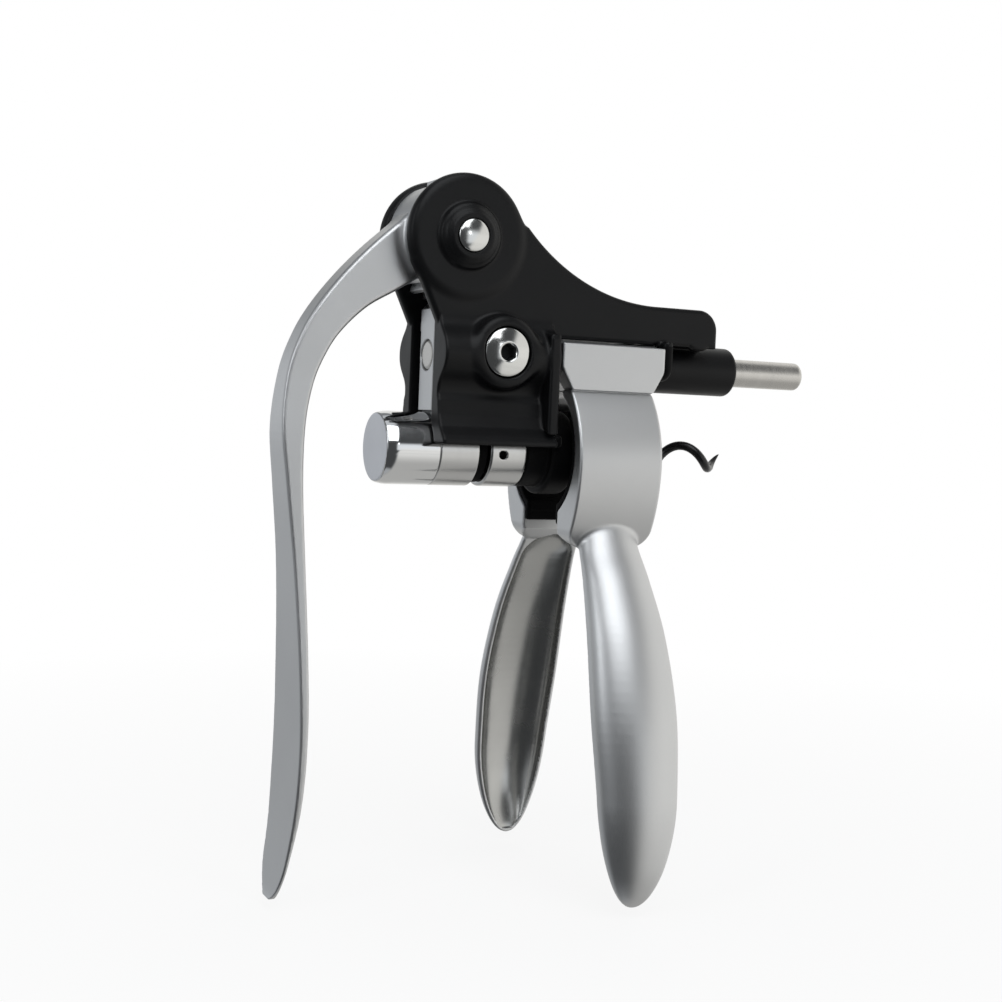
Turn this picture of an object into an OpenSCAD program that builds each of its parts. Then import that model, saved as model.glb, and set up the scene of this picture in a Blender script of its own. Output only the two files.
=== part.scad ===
// Lever corkscrew with two squeeze grips, standing on the lever's tip and the tips of the grips.
// X runs along the worm towards the bottle, Y across the two cheeks, Z up.
// Modules work with X from the lever pivot and Z from the floor. place() centres the whole object.

/* [Heights] */
// Height of the lever pivot above the floor
pivot_height = 164.4; // [162:0.1:168]
// Height of the worm's axis above the floor
worm_height = 111.6; // [110:0.1:112.5]
// Rise of the guide rod above the worm's axis
rod_rise = 23.6; // [23.2:0.1:24]
// Rise of the grip hinges above the worm's axis
hinge_rise = 24; // [23.8:0.1:24.2]

/* [Cheeks] */
// Clear width between the cheeks
cheek_gap = 14.7; // [14.5:0.1:16]
// Thickness of a cheek's wall
cheek_wall = 3.4; // [3:0.1:4]
// Diameter of the round hub disc
hub_disc_d = 31.4; // [31.2:0.1:33]
// How far the hub disc stands out of the wall
hub_disc_rise = 0.8; // [0.4:0.1:1.2]
// Diameter of the stepped boss round the pivot pin, at its foot
pin_boss_d = 16.4; // [15:0.1:18]
// Diameter of the pin boss at its face
pin_boss_face_d = 11.8; // [11:0.1:13]
// How far the pin boss stands out of the hub disc
pin_boss_rise = 2.6; // [2:0.1:3.2]
// Distance of the cheeks' rear edge behind the pivot
cheek_rear = 6.8; // [6.2:0.1:7.5]
// Distance of the lower block's front wall ahead of the pivot
block_front = 24.6; // [24:0.1:26]
// Thickness of the lower block's front wall
front_wall = 3; // [2.5:0.1:3.5]
// Half width of the lower block over its skirt and front wall
skirt_half = 16; // [15.8:0.1:17]
// Height of the skirt's lower edge above the worm's axis
skirt_low = 1.6; // [1:0.1:2.4]
// Height of the skirt's full width above the worm's axis
skirt_top = 4.6; // [4.2:0.1:5.2]
// Height where the wall begins to flare into the skirt, above the worm's axis
flare_top = 9.6; // [9:0.1:10.5]
// Length of the arm ahead of the pivot
arm_length = 74.2; // [72:0.1:78]
// Height of the arm's upper edge above the worm's axis
arm_top = 39.4; // [39.2:0.1:40.5]
// Height of the arm's lower edge above the worm's axis
arm_low = 29.3; // [29.2:0.1:29.6]
// Radius of the curve between the hub disc and the arm
arm_sweep_r = 51.5; // [48:0.5:54]
// Radius of the arm's corner
arm_corner_r = 5.5; // [4:0.1:6]
// Diameter of the hinge barrel in the lower block
hinge_barrel_d = 12.6; // [12:0.1:13]
// Distance of a hinge pin from the middle plane
hinge_offset = 9.3; // [9.2:0.05:9.6]
// Diameter of the boss under a bolt
bolt_boss_d = 18.6; // [18:0.1:20]
// Half width over the bolt bosses
bolt_boss_half = 15.2; // [14.8:0.1:15.6]
// Distance of the bolts ahead of the pivot
bolt_ahead = 10; // [9.6:0.1:10.4]
// Rise of the bolts above the worm's axis
bolt_rise = 24.8; // [24.4:0.1:25.2]
// Thickness of the ear that holds the front end of a hinge pin
ear_t = 3.1; // [2.8:0.1:3.4]
// Diameter of the ear
ear_d = 9.4; // [9:0.1:9.6]

/* [Pins and bolts] */
// Diameter of the pivot pin
pivot_pin_d = 8.1; // [7.8:0.1:8.4]
// How far the pivot pin stands out of its bosses
pivot_pin_out = 0.7; // [0.4:0.1:1]
// Diameter of a bolt's head
bolt_head_d = 12.5; // [12:0.1:13]
// Thickness of a bolt's head
bolt_head_t = 2.2; // [2:0.1:2.6]
// Depth of the recess that a bolt's head sits in
bolt_recess = 1.4; // [1:0.1:1.6]
// Diameter of a bolt's shank
bolt_d = 5; // [4.5:0.1:5.2]
// Width across the flats of a bolt's socket
bolt_socket = 4; // [3.5:0.1:5]
// Diameter of a grip's hinge pin
hinge_pin_d = 5; // [4.6:0.1:5.2]
// Length of a hinge pin inside the lower block
hinge_pin_hold = 10.5; // [8:0.1:11]

/* [Lever] */
// Width of the lever's hub
hub_width = 12.8; // [12:0.1:12.9]
// Thickness of a slip washer beside the hub
washer_t = 0.8; // [0.6:0.05:0.85]
// Diameter of a slip washer
washer_d = 18; // [16:0.5:20]
// Wall of the bearing sleeve in the hub
bush_wall = 1.5; // [1.2:0.1:2]
// Width of the lever's neck beside the hub
lever_neck_w = 9; // [8:0.1:10]
// Greatest width of the lever's paddle
paddle_w = 22; // [20:0.1:24]
// Width of the paddle's tip
paddle_tip_w = 6; // [4:0.1:8]
// Angle that the lever swings through
lever_swing = 190; // [170:1:190]

/* [Gearing] */
// Module of the hub's teeth and the rack
tooth_module = 1.22; // [1.21:0.01:1.24]
// Number of teeth on a full turn of the hub
tooth_count = 24; // [24:1:24]
// Height of a tooth above the pitch line
tooth_addendum = 0.85; // [0.8:0.05:0.95]
// Depth of a tooth below the pitch line
tooth_dedendum = 1.15; // [1.1:0.05:1.3]
// Play between meshing flanks
tooth_play = 0.3; // [0.2:0.01:0.4]

/* [Carriage] */
// Thickness of the carriage's stem
stem_t = 9; // [8.6:0.1:10]
// Distance of the stem's rear face behind the pivot
stem_rear = 5.5; // [5:0.1:6]
// Length of the stem along the worm
stem_length = 10; // [9:0.1:11]
// Height of the rack's bed above the worm's axis
rack_bed = 29.8; // [29.6:0.1:30.4]
// Length of the rack past its last tooth in use
rack_spare = 3; // [2.5:0.1:4]
// Height of the corner cut off the rack's end
rack_end_cut = 1.8; // [1:0.1:2]
// Diameter of the rack screws
rack_screw_d = 2.6; // [2:0.1:3]
// Diameter of the barrel
barrel_d = 18.4; // [18:0.1:18.8]
// Distance of the barrel's rear shoulder behind the pivot
barrel_rear = 4.5; // [4.2:0.1:4.8]
// Length of the barrel's visible ring
barrel_length = 10.7; // [10:0.1:11]
// Length of the polished cap
cap_length = 14.1; // [13.8:0.1:16]
// Diameter of the cap's end face
cap_face_d = 17.2; // [16.5:0.1:17.8]
// Bore of the cap
cap_bore_d = 14; // [13.6:0.1:14.4]
// Thickness of the black bumper ring
bumper_t = 2.8; // [2.4:0.1:3.2]
// Diameter of the bumper ring
bumper_d = 16.4; // [15:0.1:17]
// Diameter of the guide rod
rod_d = 7.7; // [7.2:0.1:7.8]
// How far the guide rod stands out of its tube
rod_out = 24; // [20:0.5:28]
// Diameter of the tube that guides the rod under the arm
tube_d = 13.2; // [12.6:0.1:13.4]
// How far the tube stands out past the arm's end
tube_out = 9.8; // [6:0.1:14]

/* [Worm] */
// Rise of the worm for one turn
worm_pitch = 18; // [17.8:0.1:18.4]
// Radius of the worm's helix at the middle of the wire
worm_helix_r = 3; // [2.8:0.05:3.1]
// Diameter of the worm's wire
worm_wire_d = 2.4; // [2.2:0.05:2.5]
// Distance of the worm's point ahead of the pivot
worm_tip = 85.4; // [82:0.1:88]
// Diameter of the worm head's journal
journal_d = 9.2; // [9:0.05:9.4]
// Diameter of the worm head's flange
flange_d = 12.8; // [12:0.1:13]
// Thickness of the worm head's flange
flange_t = 2.5; // [2:0.1:2.6]
// Thickness of a thrust washer
thrust_t = 0.8; // [0.6:0.05:0.9]

/* [Nut] */
// Length of the nut bush
nut_bush_length = 10.3; // [10:0.1:11]
// Length of the nut block's round body
nut_body_length = 6.2; // [5.8:0.1:6.6]
// Length of the nut block's nose, inside the jaws
nose_length = 7.2; // [6:0.1:7.5]
// Diameter of the nose that stops the bottle
nose_d = 22; // [20:0.1:22.2]
// Half width over the small side stops of the nut block
side_stop_half = 13.4; // [12.5:0.1:14.5]
// Thickness of a side stop
side_stop_t = 2.2; // [1.8:0.1:2.6]
// Height of a side stop
side_stop_h = 3; // [2.5:0.1:3.5]
// Gap between a side stop and the cheek
side_stop_gap = 0.4; // [0.3:0.05:0.6]
// Rise of the nut block's lug above the worm's axis
lug_rise = 16.4; // [15.8:0.1:17]
// Rise of the pin that locks the nut block, above the worm's axis
lock_pin_rise = 13.4; // [13:0.1:13.8]
// Distance of the lock pin behind the lower block's front
lock_pin_back = 3; // [2.8:0.1:3.2]
// How deep the lock pin reaches into a cheek
lock_pin_hold = 2; // [1.5:0.1:2.4]
// Distance of the first drive pin from the nut bush's rear face
drive_pin_in = 3.5; // [3.2:0.1:3.8]
// Diameter of the nut's drive pins
drive_pin_d = 1.9; // [1.6:0.1:2.2]
// Diameter of the pin that locks the nut block
lock_pin_d = 3; // [2.4:0.1:3.4]

/* [Grips] */
// Width of a grip's knuckle
knuckle_w = 30.1; // [29:0.1:31]
// Outer diameter of a grip's knuckle
knuckle_d = 9.8; // [9.4:0.1:9.9]
// Half width over the flat faces of the knuckles
knuckle_half = 15.3; // [15:0.1:16]
// Thickness of the knuckle's flat plate
knuckle_plate = 2.5; // [2.2:0.1:2.7]
// Rise of the flat plate's upper edge above the hinge
knuckle_top = 4.2; // [3.8:0.1:4.3]
// Width of a jaw along the worm
jaw_w = 24; // [22:0.1:26]
// Outer radius of a jaw's curve
jaw_outer_r = 27.7; // [27:0.1:28.5]
// Half width over the jaws
jaw_half = 21.3; // [21:0.1:22]
// Depth of a jaw's lower edge below the worm's axis, at its hook
jaw_depth = 21; // [20:0.1:22]
// Depth of a jaw's lower edge at its outer side, where the handle leaves it
jaw_outer_depth = 24; // [23:0.1:25]
// Height of the lower half of a jaw's outer curve
jaw_low_r = 34; // [30:0.1:36]
// Radius of a jaw's lower corners
jaw_corner_r = 5; // [3:0.1:7]
// Half gap between the hooks at the bottom of the jaws
hook_half_gap = 9.6; // [9.4:0.1:10.5]
// Diameter of the neck that the pads hold at rest
neck_d = 31; // [31:0.1:31.6]
// Thickness of a pad
pad_t = 2.1; // [1.8:0.1:2.4]
// Greatest half width of a handle along the worm
handle_half_w = 11.8; // [10.5:0.1:12.5]
// Greatest half thickness of a handle
handle_half_t = 7; // [6:0.1:8]
// Distance of a handle's tip from the middle plane
handle_tip_out = 36; // [34:0.1:38]
// Distance of a handle's root from the middle plane
handle_root_out = 14.2; // [14:0.1:14.6]
// How far a handle's root is sunk into its jaw
handle_sunk = 3.4; // [3:0.1:4]
// Share of a handle's half thickness that is cut off flat on its inner side
handle_flat = 0.2; // [0.1:0.05:0.4]
// Thickness of a handle's wall at its rim
handle_wall = 1.3; // [1:0.1:2]
// Thickness of a handle's back behind its hollow
handle_back = 2.2; // [1.8:0.1:3]
// Distance of a hollow's upper end below the handle's root
hollow_below = 6.6; // [6.5:0.1:9]
// Radius of a hollow's upper end
hollow_end_r = 6; // [4:0.1:8]
// Rise of the knuckle's slanted lower corners
knuckle_chamfer = 3; // [2:0.1:4]
// Rise of a pad's upper edge above the worm's axis
pad_rise = 11; // [10:0.1:12]
// Depth of a pad's lip below the worm's axis
pad_drop = 18.4; // [17.5:0.1:19]
// Thickness of a pad's lip
pad_lip_t = 1.6; // [1.4:0.1:1.8]
// Rise of a jaw's middle above the worm's axis, downwards negative
jaw_centre_rise = -2; // [-2.4:0.1:-1.6]
// Depth of the crease between knuckle and jaw below the hinge
crease_depth = 7.6; // [7.2:0.1:8]
// How far a grip closes from rest
grip_close = 9; // [6:0.5:9]
// How far a grip opens from rest
grip_open = 18; // [10:0.5:18]

/* [Clearances] */
// Radial play of a turning or sliding fit
run_play = 0.05; // [0.03:0.01:0.08]
// Radial play of a fixed fit
seat_play = 0.02; // [0.01:0.01:0.04]
// Play beside a moving face
side_play = 0.07; // [0.05:0.01:0.1]
// Play on each side of a knuckle
grip_play = 0.75; // [0.6:0.05:0.9]
// Gap between the bumper ring and the nut bush at rest
bumper_gap = 0.3; // [0.3:0.05:0.5]
// Play round the barrel in the saddle
saddle_play = 0.6; // [0.5:0.05:0.8]
// Play round the worm in the nut
worm_play = 0.6; // [0.5:0.05:0.8]

/* [Hidden] */
$fn = 64;
tiny = 0.01;

// Heights above the floor
worm_z = worm_height;
rod_z = worm_z + rod_rise;
hinge_z = worm_z + hinge_rise;
bolt_z = worm_z + bolt_rise;
pivot_z = pivot_height;
arm_top_z = worm_z + arm_top;
arm_low_z = worm_z + arm_low;

// Half widths across the cheeks
inner_half = cheek_gap / 2;
wall_half = inner_half + cheek_wall;
disc_half = wall_half + hub_disc_rise;
boss_half = disc_half + pin_boss_rise;
pivot_pin_half = boss_half + pivot_pin_out;
hub_disc_r = hub_disc_d / 2;

// Gearing: the rack's pitch line touches the hub's pitch circle
pitch_r = tooth_module * tooth_count / 2;
base_r = pitch_r * cos(20);
tip_r = pitch_r + tooth_addendum;
root_r = pitch_r - tooth_dedendum;
tooth_step = PI * tooth_module;
pitch_z = pivot_z - pitch_r;
travel = pitch_r * lever_swing * PI / 180;
rack_front = travel + rack_spare;
rack_root_z = pitch_z - tooth_dedendum;
smooth_hub_r = tip_r - 0.9;

// Stations along the worm, from the pivot
cap_rear = -barrel_rear - cap_length;
barrel_front = barrel_length - barrel_rear;
bush_rear = barrel_front + bumper_t + bumper_gap;
nut_rear = bush_rear + nut_bush_length;
nose_rear = nut_rear + nut_body_length;
bottle_stop = nose_rear + nose_length;
grip_x = block_front + grip_play + knuckle_w / 2;
knuckle_front = grip_x + knuckle_w / 2;
ear_rear = knuckle_front + grip_play;
ear_front = ear_rear + ear_t;
hinge_pin_rear = block_front - hinge_pin_hold;
tube_front = arm_length + tube_out;
rod_front = tube_front + rod_out;

// Worm: the helix points up where its phase is zero, and turns right-handed towards the bottle
worm_outer_r = worm_helix_r + worm_wire_d / 2;
worm_bore_r = worm_outer_r + worm_play;
worm_start = barrel_front - 4;
rings_per_turn = 14;
wire_sides = 8;
point_angle = 100;
drive_pin_turn = 5.5;
drive_pin_x = bush_rear + drive_pin_in;
worm_phase_x = drive_pin_x + (3.25 - drive_pin_turn / 360) * worm_pitch;
drive_pin_low_x = drive_pin_x + worm_pitch / 4;

// Worm head inside the cap: a flange between two thrust washers
spigot_length = 4.4;
journal_bore_r = journal_d / 2 + run_play;
cap_bore_r = cap_bore_d / 2;
spigot_rear = -barrel_rear - spigot_length;
flange_front = spigot_rear - thrust_t - 2 * side_play;
flange_rear = flange_front - flange_t;
cavity_rear = flange_rear - thrust_t - 2 * side_play;

// Grips
neck_r = neck_d / 2;
pad_seat_r = neck_r + pad_t;
jaw_centre_y = jaw_half - jaw_outer_r;
crease_rise = hinge_rise - crease_depth;
handle_sides = 20;
handle_steps = 4;
hollow_sides = 14;
hollow_least = 0.2;
// Stations of a handle: shares of its height, of its way out, and of its greatest half sizes
handle_top = worm_z - jaw_depth + handle_sunk;
handle_stations = [
    [1, 0, 0.58, 0.48],
    [0.936, 0.087, 0.7, 0.7],
    [0.851, 0.298, 0.79, 0.83],
    [0.702, 0.594, 0.92, 0.95],
    [0.5, 0.846, 1, 1],
    [0.287, 1, 0.93, 0.95],
    [0.128, 1.043, 0.7, 0.75],
    [0.043, 1.022, 0.42, 0.48],
    [0, 1, 0.12, 0.16]
];

// Lever: outer and inner side outlines from the pivot, and half width shares over the height
lever_outer = [
    [-9, 9], [-15, 3.6], [-23, -3.6], [-30, -11], [-36, -18.8], [-40, -26], [-43, -35], [-44.3, -48],
    [-43, -62], [-41, -81], [-39.6, -103], [-39, -124], [-39.8, -144], [-42, -160]
];
lever_inner = [
    [-40.8, -159], [-37.9, -142], [-36.8, -122], [-37.1, -101], [-37.9, -80], [-38.7, -61], [-38.3, -48],
    [-36.4, -38], [-33.6, -31], [-29.8, -25], [-23.4, -18.7], [-16, -14.2], [-9, -10]
];
lever_tip_rear = 43;
lever_tip_front = 41.4;
lever_side = concat(
    spline(concat(lever_outer, [[-lever_tip_rear, -pivot_z]]), 4),
    spline(concat([[-lever_tip_front, -pivot_z]], lever_inner), 4)
);
lever_front = spline([
    [0, paddle_tip_w / 2], [0.024 * pivot_z, 0.3 * paddle_w], [0.085 * pivot_z, 0.42 * paddle_w],
    [0.158 * pivot_z, 0.485 * paddle_w], [0.231 * pivot_z, 0.5 * paddle_w], [0.328 * pivot_z, 0.465 * paddle_w],
    [0.45 * pivot_z, 0.38 * paddle_w], [0.547 * pivot_z, 0.32 * paddle_w],
    [0.681 * pivot_z, 0.655 * lever_neck_w], [0.754 * pivot_z, 0.544 * lever_neck_w],
    [0.827 * pivot_z, 0.5 * lever_neck_w],
    [pivot_z + hub_disc_r, 0.5 * lever_neck_w]
], 4);

// The box of the whole object is centred on the origin
object_rear = min([for (p = lever_side) p.x]);
object_middle = (object_rear + rod_front) / 2;

function blend4(a, b, c, d, t) =
    0.5 * (2 * b + (c - a) * t + (2 * a - 5 * b + 4 * c - d) * t * t + (3 * b - a - 3 * c + d) * t * t * t);
function spline(p, n) = concat(
    [for (i = [0:len(p) - 2]) for (k = [0:n - 1])
        blend4(p[max(i - 1, 0)], p[i], p[i + 1], p[min(i + 2, len(p) - 1)], k / n)],
    [p[len(p) - 1]]
);

// Helix of the worm
function worm_angle(x) = 90 + 360 * (x - worm_phase_x) / worm_pitch;
function worm_point(x) =
    [x, worm_helix_r * cos(worm_angle(x)), worm_z + worm_helix_r * sin(worm_angle(x))];
function worm_along() =
    let (v = [worm_pitch / (2 * PI), worm_helix_r]) v / norm(v);
function worm_ring(x, r) =
    let (a = worm_angle(x), c = worm_point(x), t = worm_along(), out = [0, cos(a), sin(a)],
         side = [-t[1], -t[0] * sin(a), t[0] * cos(a)])
    [for (k = [0:wire_sides - 1]) c + r * (cos(360 * k / wire_sides) * out + sin(360 * k / wire_sides) * side)];
worm_step = worm_pitch / rings_per_turn;
worm_rings = floor((worm_tip - worm_start) / worm_step);
function worm_radius(x) =
    let (left = (worm_tip - x) / worm_pitch * 360)
    worm_wire_d / 2 * (left < point_angle ? 0.15 + 0.85 * left / point_angle : 1);
worm_points = [for (i = [0:worm_rings]) worm_point(worm_tip - (worm_rings - i) * worm_step)];
worm_gap = min([for (i = [0:worm_rings]) for (j = [i + 1:1:worm_rings])
    if (j - i > rings_per_turn / 2) norm(worm_points[i] - worm_points[j]) - worm_wire_d]);
echo(worm_gap = worm_gap);

// Shapes shared by several pieces
module place() {
    translate([-object_middle, 0, 0]) children();
}

module along_x(x0, x1, z, r, y = 0) {
    translate([x0, y, z]) rotate([0, 90, 0]) cylinder(r = r, h = x1 - x0);
}

module along_y(x, z, y0, y1, r) {
    translate([x, y0, z]) rotate([-90, 0, 0]) cylinder(r = r, h = y1 - y0);
}

// Pin across the worm's axis, from the near side turned down by an angle
module radial(x, turn, r0, r1, r) {
    translate([x, 0, worm_z]) rotate([turn + 90, 0, 0]) translate([0, 0, r0]) cylinder(r = r, h = r1 - r0);
}

module ring_x(x0, x1, z, r, bore) {
    difference() {
        along_x(x0, x1, z, r);
        along_x(x0 - 1, x1 + 1, z, bore);
    }
}

module block(x0, x1, y0, y1, z0, z1) {
    translate([x0, y0, z0]) cube([x1 - x0, y1 - y0, z1 - z0]);
}

module near_side() {
    mirror([0, 1, 0]) children();
}

// Outline in X and Z, extruded across Y
module across_y(y0, y1) {
    translate([0, y1, 0]) rotate([90, 0, 0]) linear_extrude(y1 - y0) children();
}

// Outline in Y and Z, extruded along X
module outline_along_x(x0, x1) {
    translate([x0, 0, 0]) rotate([90, 0, 90]) linear_extrude(x1 - x0) children();
}

module loft(rings) {
    n = len(rings[0]);
    m = len(rings);
    points = [for (ring = rings) for (p = ring) p];
    walls = [for (i = [0:m - 2]) for (k = [0:n - 1]) for (half = [0:1])
        let (a = i * n + k, b = i * n + (k + 1) % n)
        half == 0 ? [a, b + n, b] : [a, a + n, b + n]];
    polyhedron(points = points, faces = concat(
        walls, [[for (k = [0:n - 1]) k]], [[for (k = [n - 1:-1:0]) (m - 1) * n + k]]
    ), convexity = 8);
}

// Frame
module cheek_outline() {
    sweep_z = arm_top_z + arm_sweep_r;
    sweep_x = sqrt(pow(hub_disc_r + arm_sweep_r, 2) - pow(sweep_z - pivot_z, 2));
    difference() {
        union() {
            translate([0, pivot_z]) circle(r = hub_disc_r);
            difference() {
                polygon([
                    [-hub_disc_r + 2, pivot_z - 7], [-cheek_rear, worm_z + 31], [-cheek_rear, worm_z + flare_top],
                    [block_front, worm_z + flare_top], [block_front, arm_low_z], [arm_length, arm_low_z],
                    [arm_length, arm_top_z - arm_corner_r], [arm_length - arm_corner_r, arm_top_z],
                    [sweep_x, arm_top_z], [hub_disc_r / 2, pivot_z + hub_disc_r / 2], [0, pivot_z]
                ]);
                translate([sweep_x, sweep_z]) circle(r = arm_sweep_r, $fn = 180);
            }
            translate([arm_length - arm_corner_r, arm_top_z - arm_corner_r]) circle(r = arm_corner_r);
        }
    }
}

module cheek_saddle() {
    saddle_r = barrel_d / 2 + saddle_play;
    outline_along_x(-cheek_rear, block_front) difference() {
        polygon([
            [inner_half, worm_z + flare_top], [inner_half, worm_z + skirt_low], [skirt_half, worm_z + skirt_low],
            [skirt_half, worm_z + skirt_top], [wall_half, worm_z + flare_top]
        ]);
        translate([0, worm_z]) circle(r = saddle_r);
    }
}

module cheek_front_wall() {
    outline_along_x(block_front - front_wall, block_front)
        polygon([
            [inner_half, arm_low_z + 2.2], [skirt_half, arm_low_z + 0.6], [skirt_half, worm_z + skirt_top],
            [wall_half, worm_z + flare_top], [inner_half, worm_z + flare_top]
        ]);
}

module cheek_barrel() {
    intersection() {
        along_x(-cheek_rear, block_front, hinge_z, hinge_barrel_d / 2, hinge_offset);
        block(-cheek_rear, block_front, inner_half, skirt_half, worm_z, pivot_z);
    }
}

module cheek_ear() {
    intersection() {
        union() {
            along_x(ear_rear, ear_front, hinge_z, ear_d / 2, hinge_offset);
            block(ear_rear, ear_front, inner_half, hinge_offset + ear_d / 2, hinge_z, arm_low_z + 1);
        }
        block(ear_rear, ear_front, 0, skirt_half, worm_z, arm_low_z + 1);
    }
}

module pin_boss() {
    step = pin_boss_rise / 2;
    middle_d = (pin_boss_d + pin_boss_face_d) / 2;
    along_y(0, pivot_z, disc_half - tiny, disc_half + step, pin_boss_d / 2);
    along_y(0, pivot_z, disc_half, boss_half - 0.4, middle_d / 2);
    along_y(0, pivot_z, disc_half, boss_half, pin_boss_face_d / 2);
}

module cheek() {
    spigot_hole_r = guide_spigot_r + seat_play;
    color([0.13, 0.13, 0.14]) difference() {
        union() {
            across_y(inner_half, wall_half) cheek_outline();
            along_y(0, pivot_z, inner_half, disc_half, hub_disc_r);
            pin_boss();
            cheek_saddle();
            cheek_front_wall();
            cheek_barrel();
            cheek_ear();
            along_y(bolt_ahead, bolt_z, inner_half, bolt_boss_half, bolt_boss_d / 2);
        }
        along_y(0, pivot_z, 0, boss_half + 1, pivot_pin_d / 2 + seat_play);
        along_y(bolt_ahead, bolt_z, 0, bolt_boss_half + 1, bolt_d / 2 + seat_play);
        along_y(bolt_ahead, bolt_z, bolt_boss_half - bolt_recess, bolt_boss_half + 1, bolt_head_d / 2 + 0.2);
        along_x(hinge_pin_rear, ear_front + 1, hinge_z, hinge_pin_d / 2 + seat_play, hinge_offset);
        along_y(guide_spigot_x, guide_spigot_z, 0, inner_half + guide_spigot_out + 0.1, spigot_hole_r);
        along_y(lock_pin_x, lock_pin_z, 0, inner_half + lock_pin_hold, lock_pin_d / 2 + seat_play);
    }
}

module near_cheek() {
    near_side() cheek();
}

module far_cheek() {
    cheek();
}

module domed_pin(x, z, half, r, dome_r) {
    intersection() {
        along_y(x, z, -half, half, r);
        translate([x, half - dome_r, z]) sphere(r = dome_r);
        translate([x, dome_r - half, z]) sphere(r = dome_r);
    }
}

module pivot_pin() {
    color([0.85, 0.84, 0.8]) domed_pin(0, pivot_z, pivot_pin_half, pivot_pin_d / 2, 2.4 * pivot_pin_half);
}

module hub_washers() {
    color([0.8, 0.8, 0.78]) for (side = [-1, 1])
        difference() {
            along_y(0, pivot_z, side * (inner_half - washer_t / 2) - washer_t / 2,
                side * (inner_half - washer_t / 2) + washer_t / 2, washer_d / 2);
            along_y(0, pivot_z, -inner_half - 1, inner_half + 1, pivot_pin_d / 2 + 2 * run_play);
        }
}

// Bolt through a cheek's boss into the rear rod guide
bolt_tip_half = rod_d / 2 + 1.05;
module bolt() {
    seat = bolt_boss_half - bolt_recess;
    dome_r = 22;
    color([0.82, 0.8, 0.76]) difference() {
        union() {
            intersection() {
                along_y(bolt_ahead, bolt_z, seat, seat + bolt_head_t, bolt_head_d / 2);
                translate([bolt_ahead, seat + bolt_head_t - dome_r, bolt_z]) sphere(r = dome_r);
            }
            along_y(bolt_ahead, bolt_z, bolt_tip_half, seat + tiny, bolt_d / 2);
        }
        translate([bolt_ahead, seat + bolt_head_t - 1.5, bolt_z]) rotate([-90, 0, 0])
            cylinder(d = bolt_socket / cos(30), h = 3, $fn = 6);
    }
}

module near_bolt() {
    near_side() bolt();
}

module far_bolt() {
    bolt();
}

rod_bore_r = rod_d / 2 + run_play;
guide_rear = barrel_front + 1.2;
guide_front = block_front - 1;
module rear_rod_guide() {
    low = rod_z - rod_bore_r - 2;
    high = worm_z + rack_bed - 0.8;
    color([0.2, 0.2, 0.21]) difference() {
        block(guide_rear, guide_front, -inner_half, inner_half, low, high);
        along_x(guide_rear - 1, guide_front + 1, rod_z, rod_bore_r);
        for (side = [-1, 1])
            along_x(hinge_pin_rear, guide_front + 1, hinge_z, hinge_pin_d / 2 + seat_play, side * hinge_offset);
        for (side = [-1, 1])
            along_y(bolt_ahead, bolt_z, side > 0 ? bolt_tip_half - 0.05 : -inner_half - 1,
                side > 0 ? inner_half + 1 : 0.05 - bolt_tip_half, bolt_d / 2 + seat_play);
    }
}

guide_spigot_r = 2.5;
guide_spigot_out = 1.6;
guide_spigot_x = (ear_front + arm_length) / 2;
guide_spigot_z = arm_low_z + 4.2;
module front_rod_guide() {
    color([0.14, 0.14, 0.15]) difference() {
        union() {
            along_x(ear_front, tube_front, rod_z, tube_d / 2);
            block(ear_front, arm_length - 1.5, -inner_half, inner_half, arm_low_z, arm_top_z - 2.5);
            block(ear_front, arm_length - 1.5, -4, 4, rod_z, arm_low_z + 1);
            along_y(guide_spigot_x, guide_spigot_z, -inner_half - guide_spigot_out,
                inner_half + guide_spigot_out, guide_spigot_r);
        }
        along_x(ear_front - 1, tube_front + 1, rod_z, rod_bore_r);
    }
}

module hinge_pin() {
    color([0.75, 0.75, 0.77])
        along_x(hinge_pin_rear + 0.3, ear_front - 0.3, hinge_z, hinge_pin_d / 2, hinge_offset);
}

module near_hinge_pin() {
    near_side() hinge_pin();
}

module far_hinge_pin() {
    hinge_pin();
}

nut_bush_r = barrel_d / 2;
module nut_bush() {
    color([0.74, 0.75, 0.77]) difference() {
        ring_x(bush_rear, nut_rear, worm_z, nut_bush_r, worm_bore_r);
        radial(drive_pin_x, drive_pin_turn, 0, nut_bush_r + 1, drive_pin_d / 2 + seat_play);
        radial(drive_pin_low_x, drive_pin_turn + 90, 0, nut_bush_r + 1, drive_pin_d / 2 + seat_play);
    }
}

// Pins that stand in the gap between two turns of the worm
drive_pin_inner = 1.9;
drive_pin_sunk = 2.4;
module nut_drive_pins() {
    pin_outer = nut_bush_r - drive_pin_sunk;
    color([0.5, 0.5, 0.52]) {
        radial(drive_pin_x, drive_pin_turn, drive_pin_inner, pin_outer, drive_pin_d / 2);
        radial(drive_pin_low_x, drive_pin_turn + 90, drive_pin_inner, pin_outer, drive_pin_d / 2);
    }
}

lock_pin_x = block_front - lock_pin_back;
lock_pin_z = worm_z + lock_pin_rise;
lug_top = worm_z + lug_rise;
module nut_block() {
    body_r = barrel_d / 2 - 0.2;
    color([0.12, 0.12, 0.13]) difference() {
        union() {
            along_x(nut_rear, nose_rear, worm_z, body_r);
            along_x(nose_rear, bottle_stop, worm_z, nose_d / 2);
            block(nut_rear, block_front, 0.2 - inner_half, inner_half - 0.2, worm_z, lug_top);
            block(block_front + side_stop_gap, block_front + side_stop_gap + side_stop_t, -side_stop_half,
                side_stop_half, worm_z + skirt_low, worm_z + skirt_low + side_stop_h);
        }
        along_x(nut_rear - 1, bottle_stop + 1, worm_z, worm_bore_r);
        along_y(lock_pin_x, lock_pin_z, -inner_half, inner_half, lock_pin_d / 2 + seat_play);
    }
}

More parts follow.
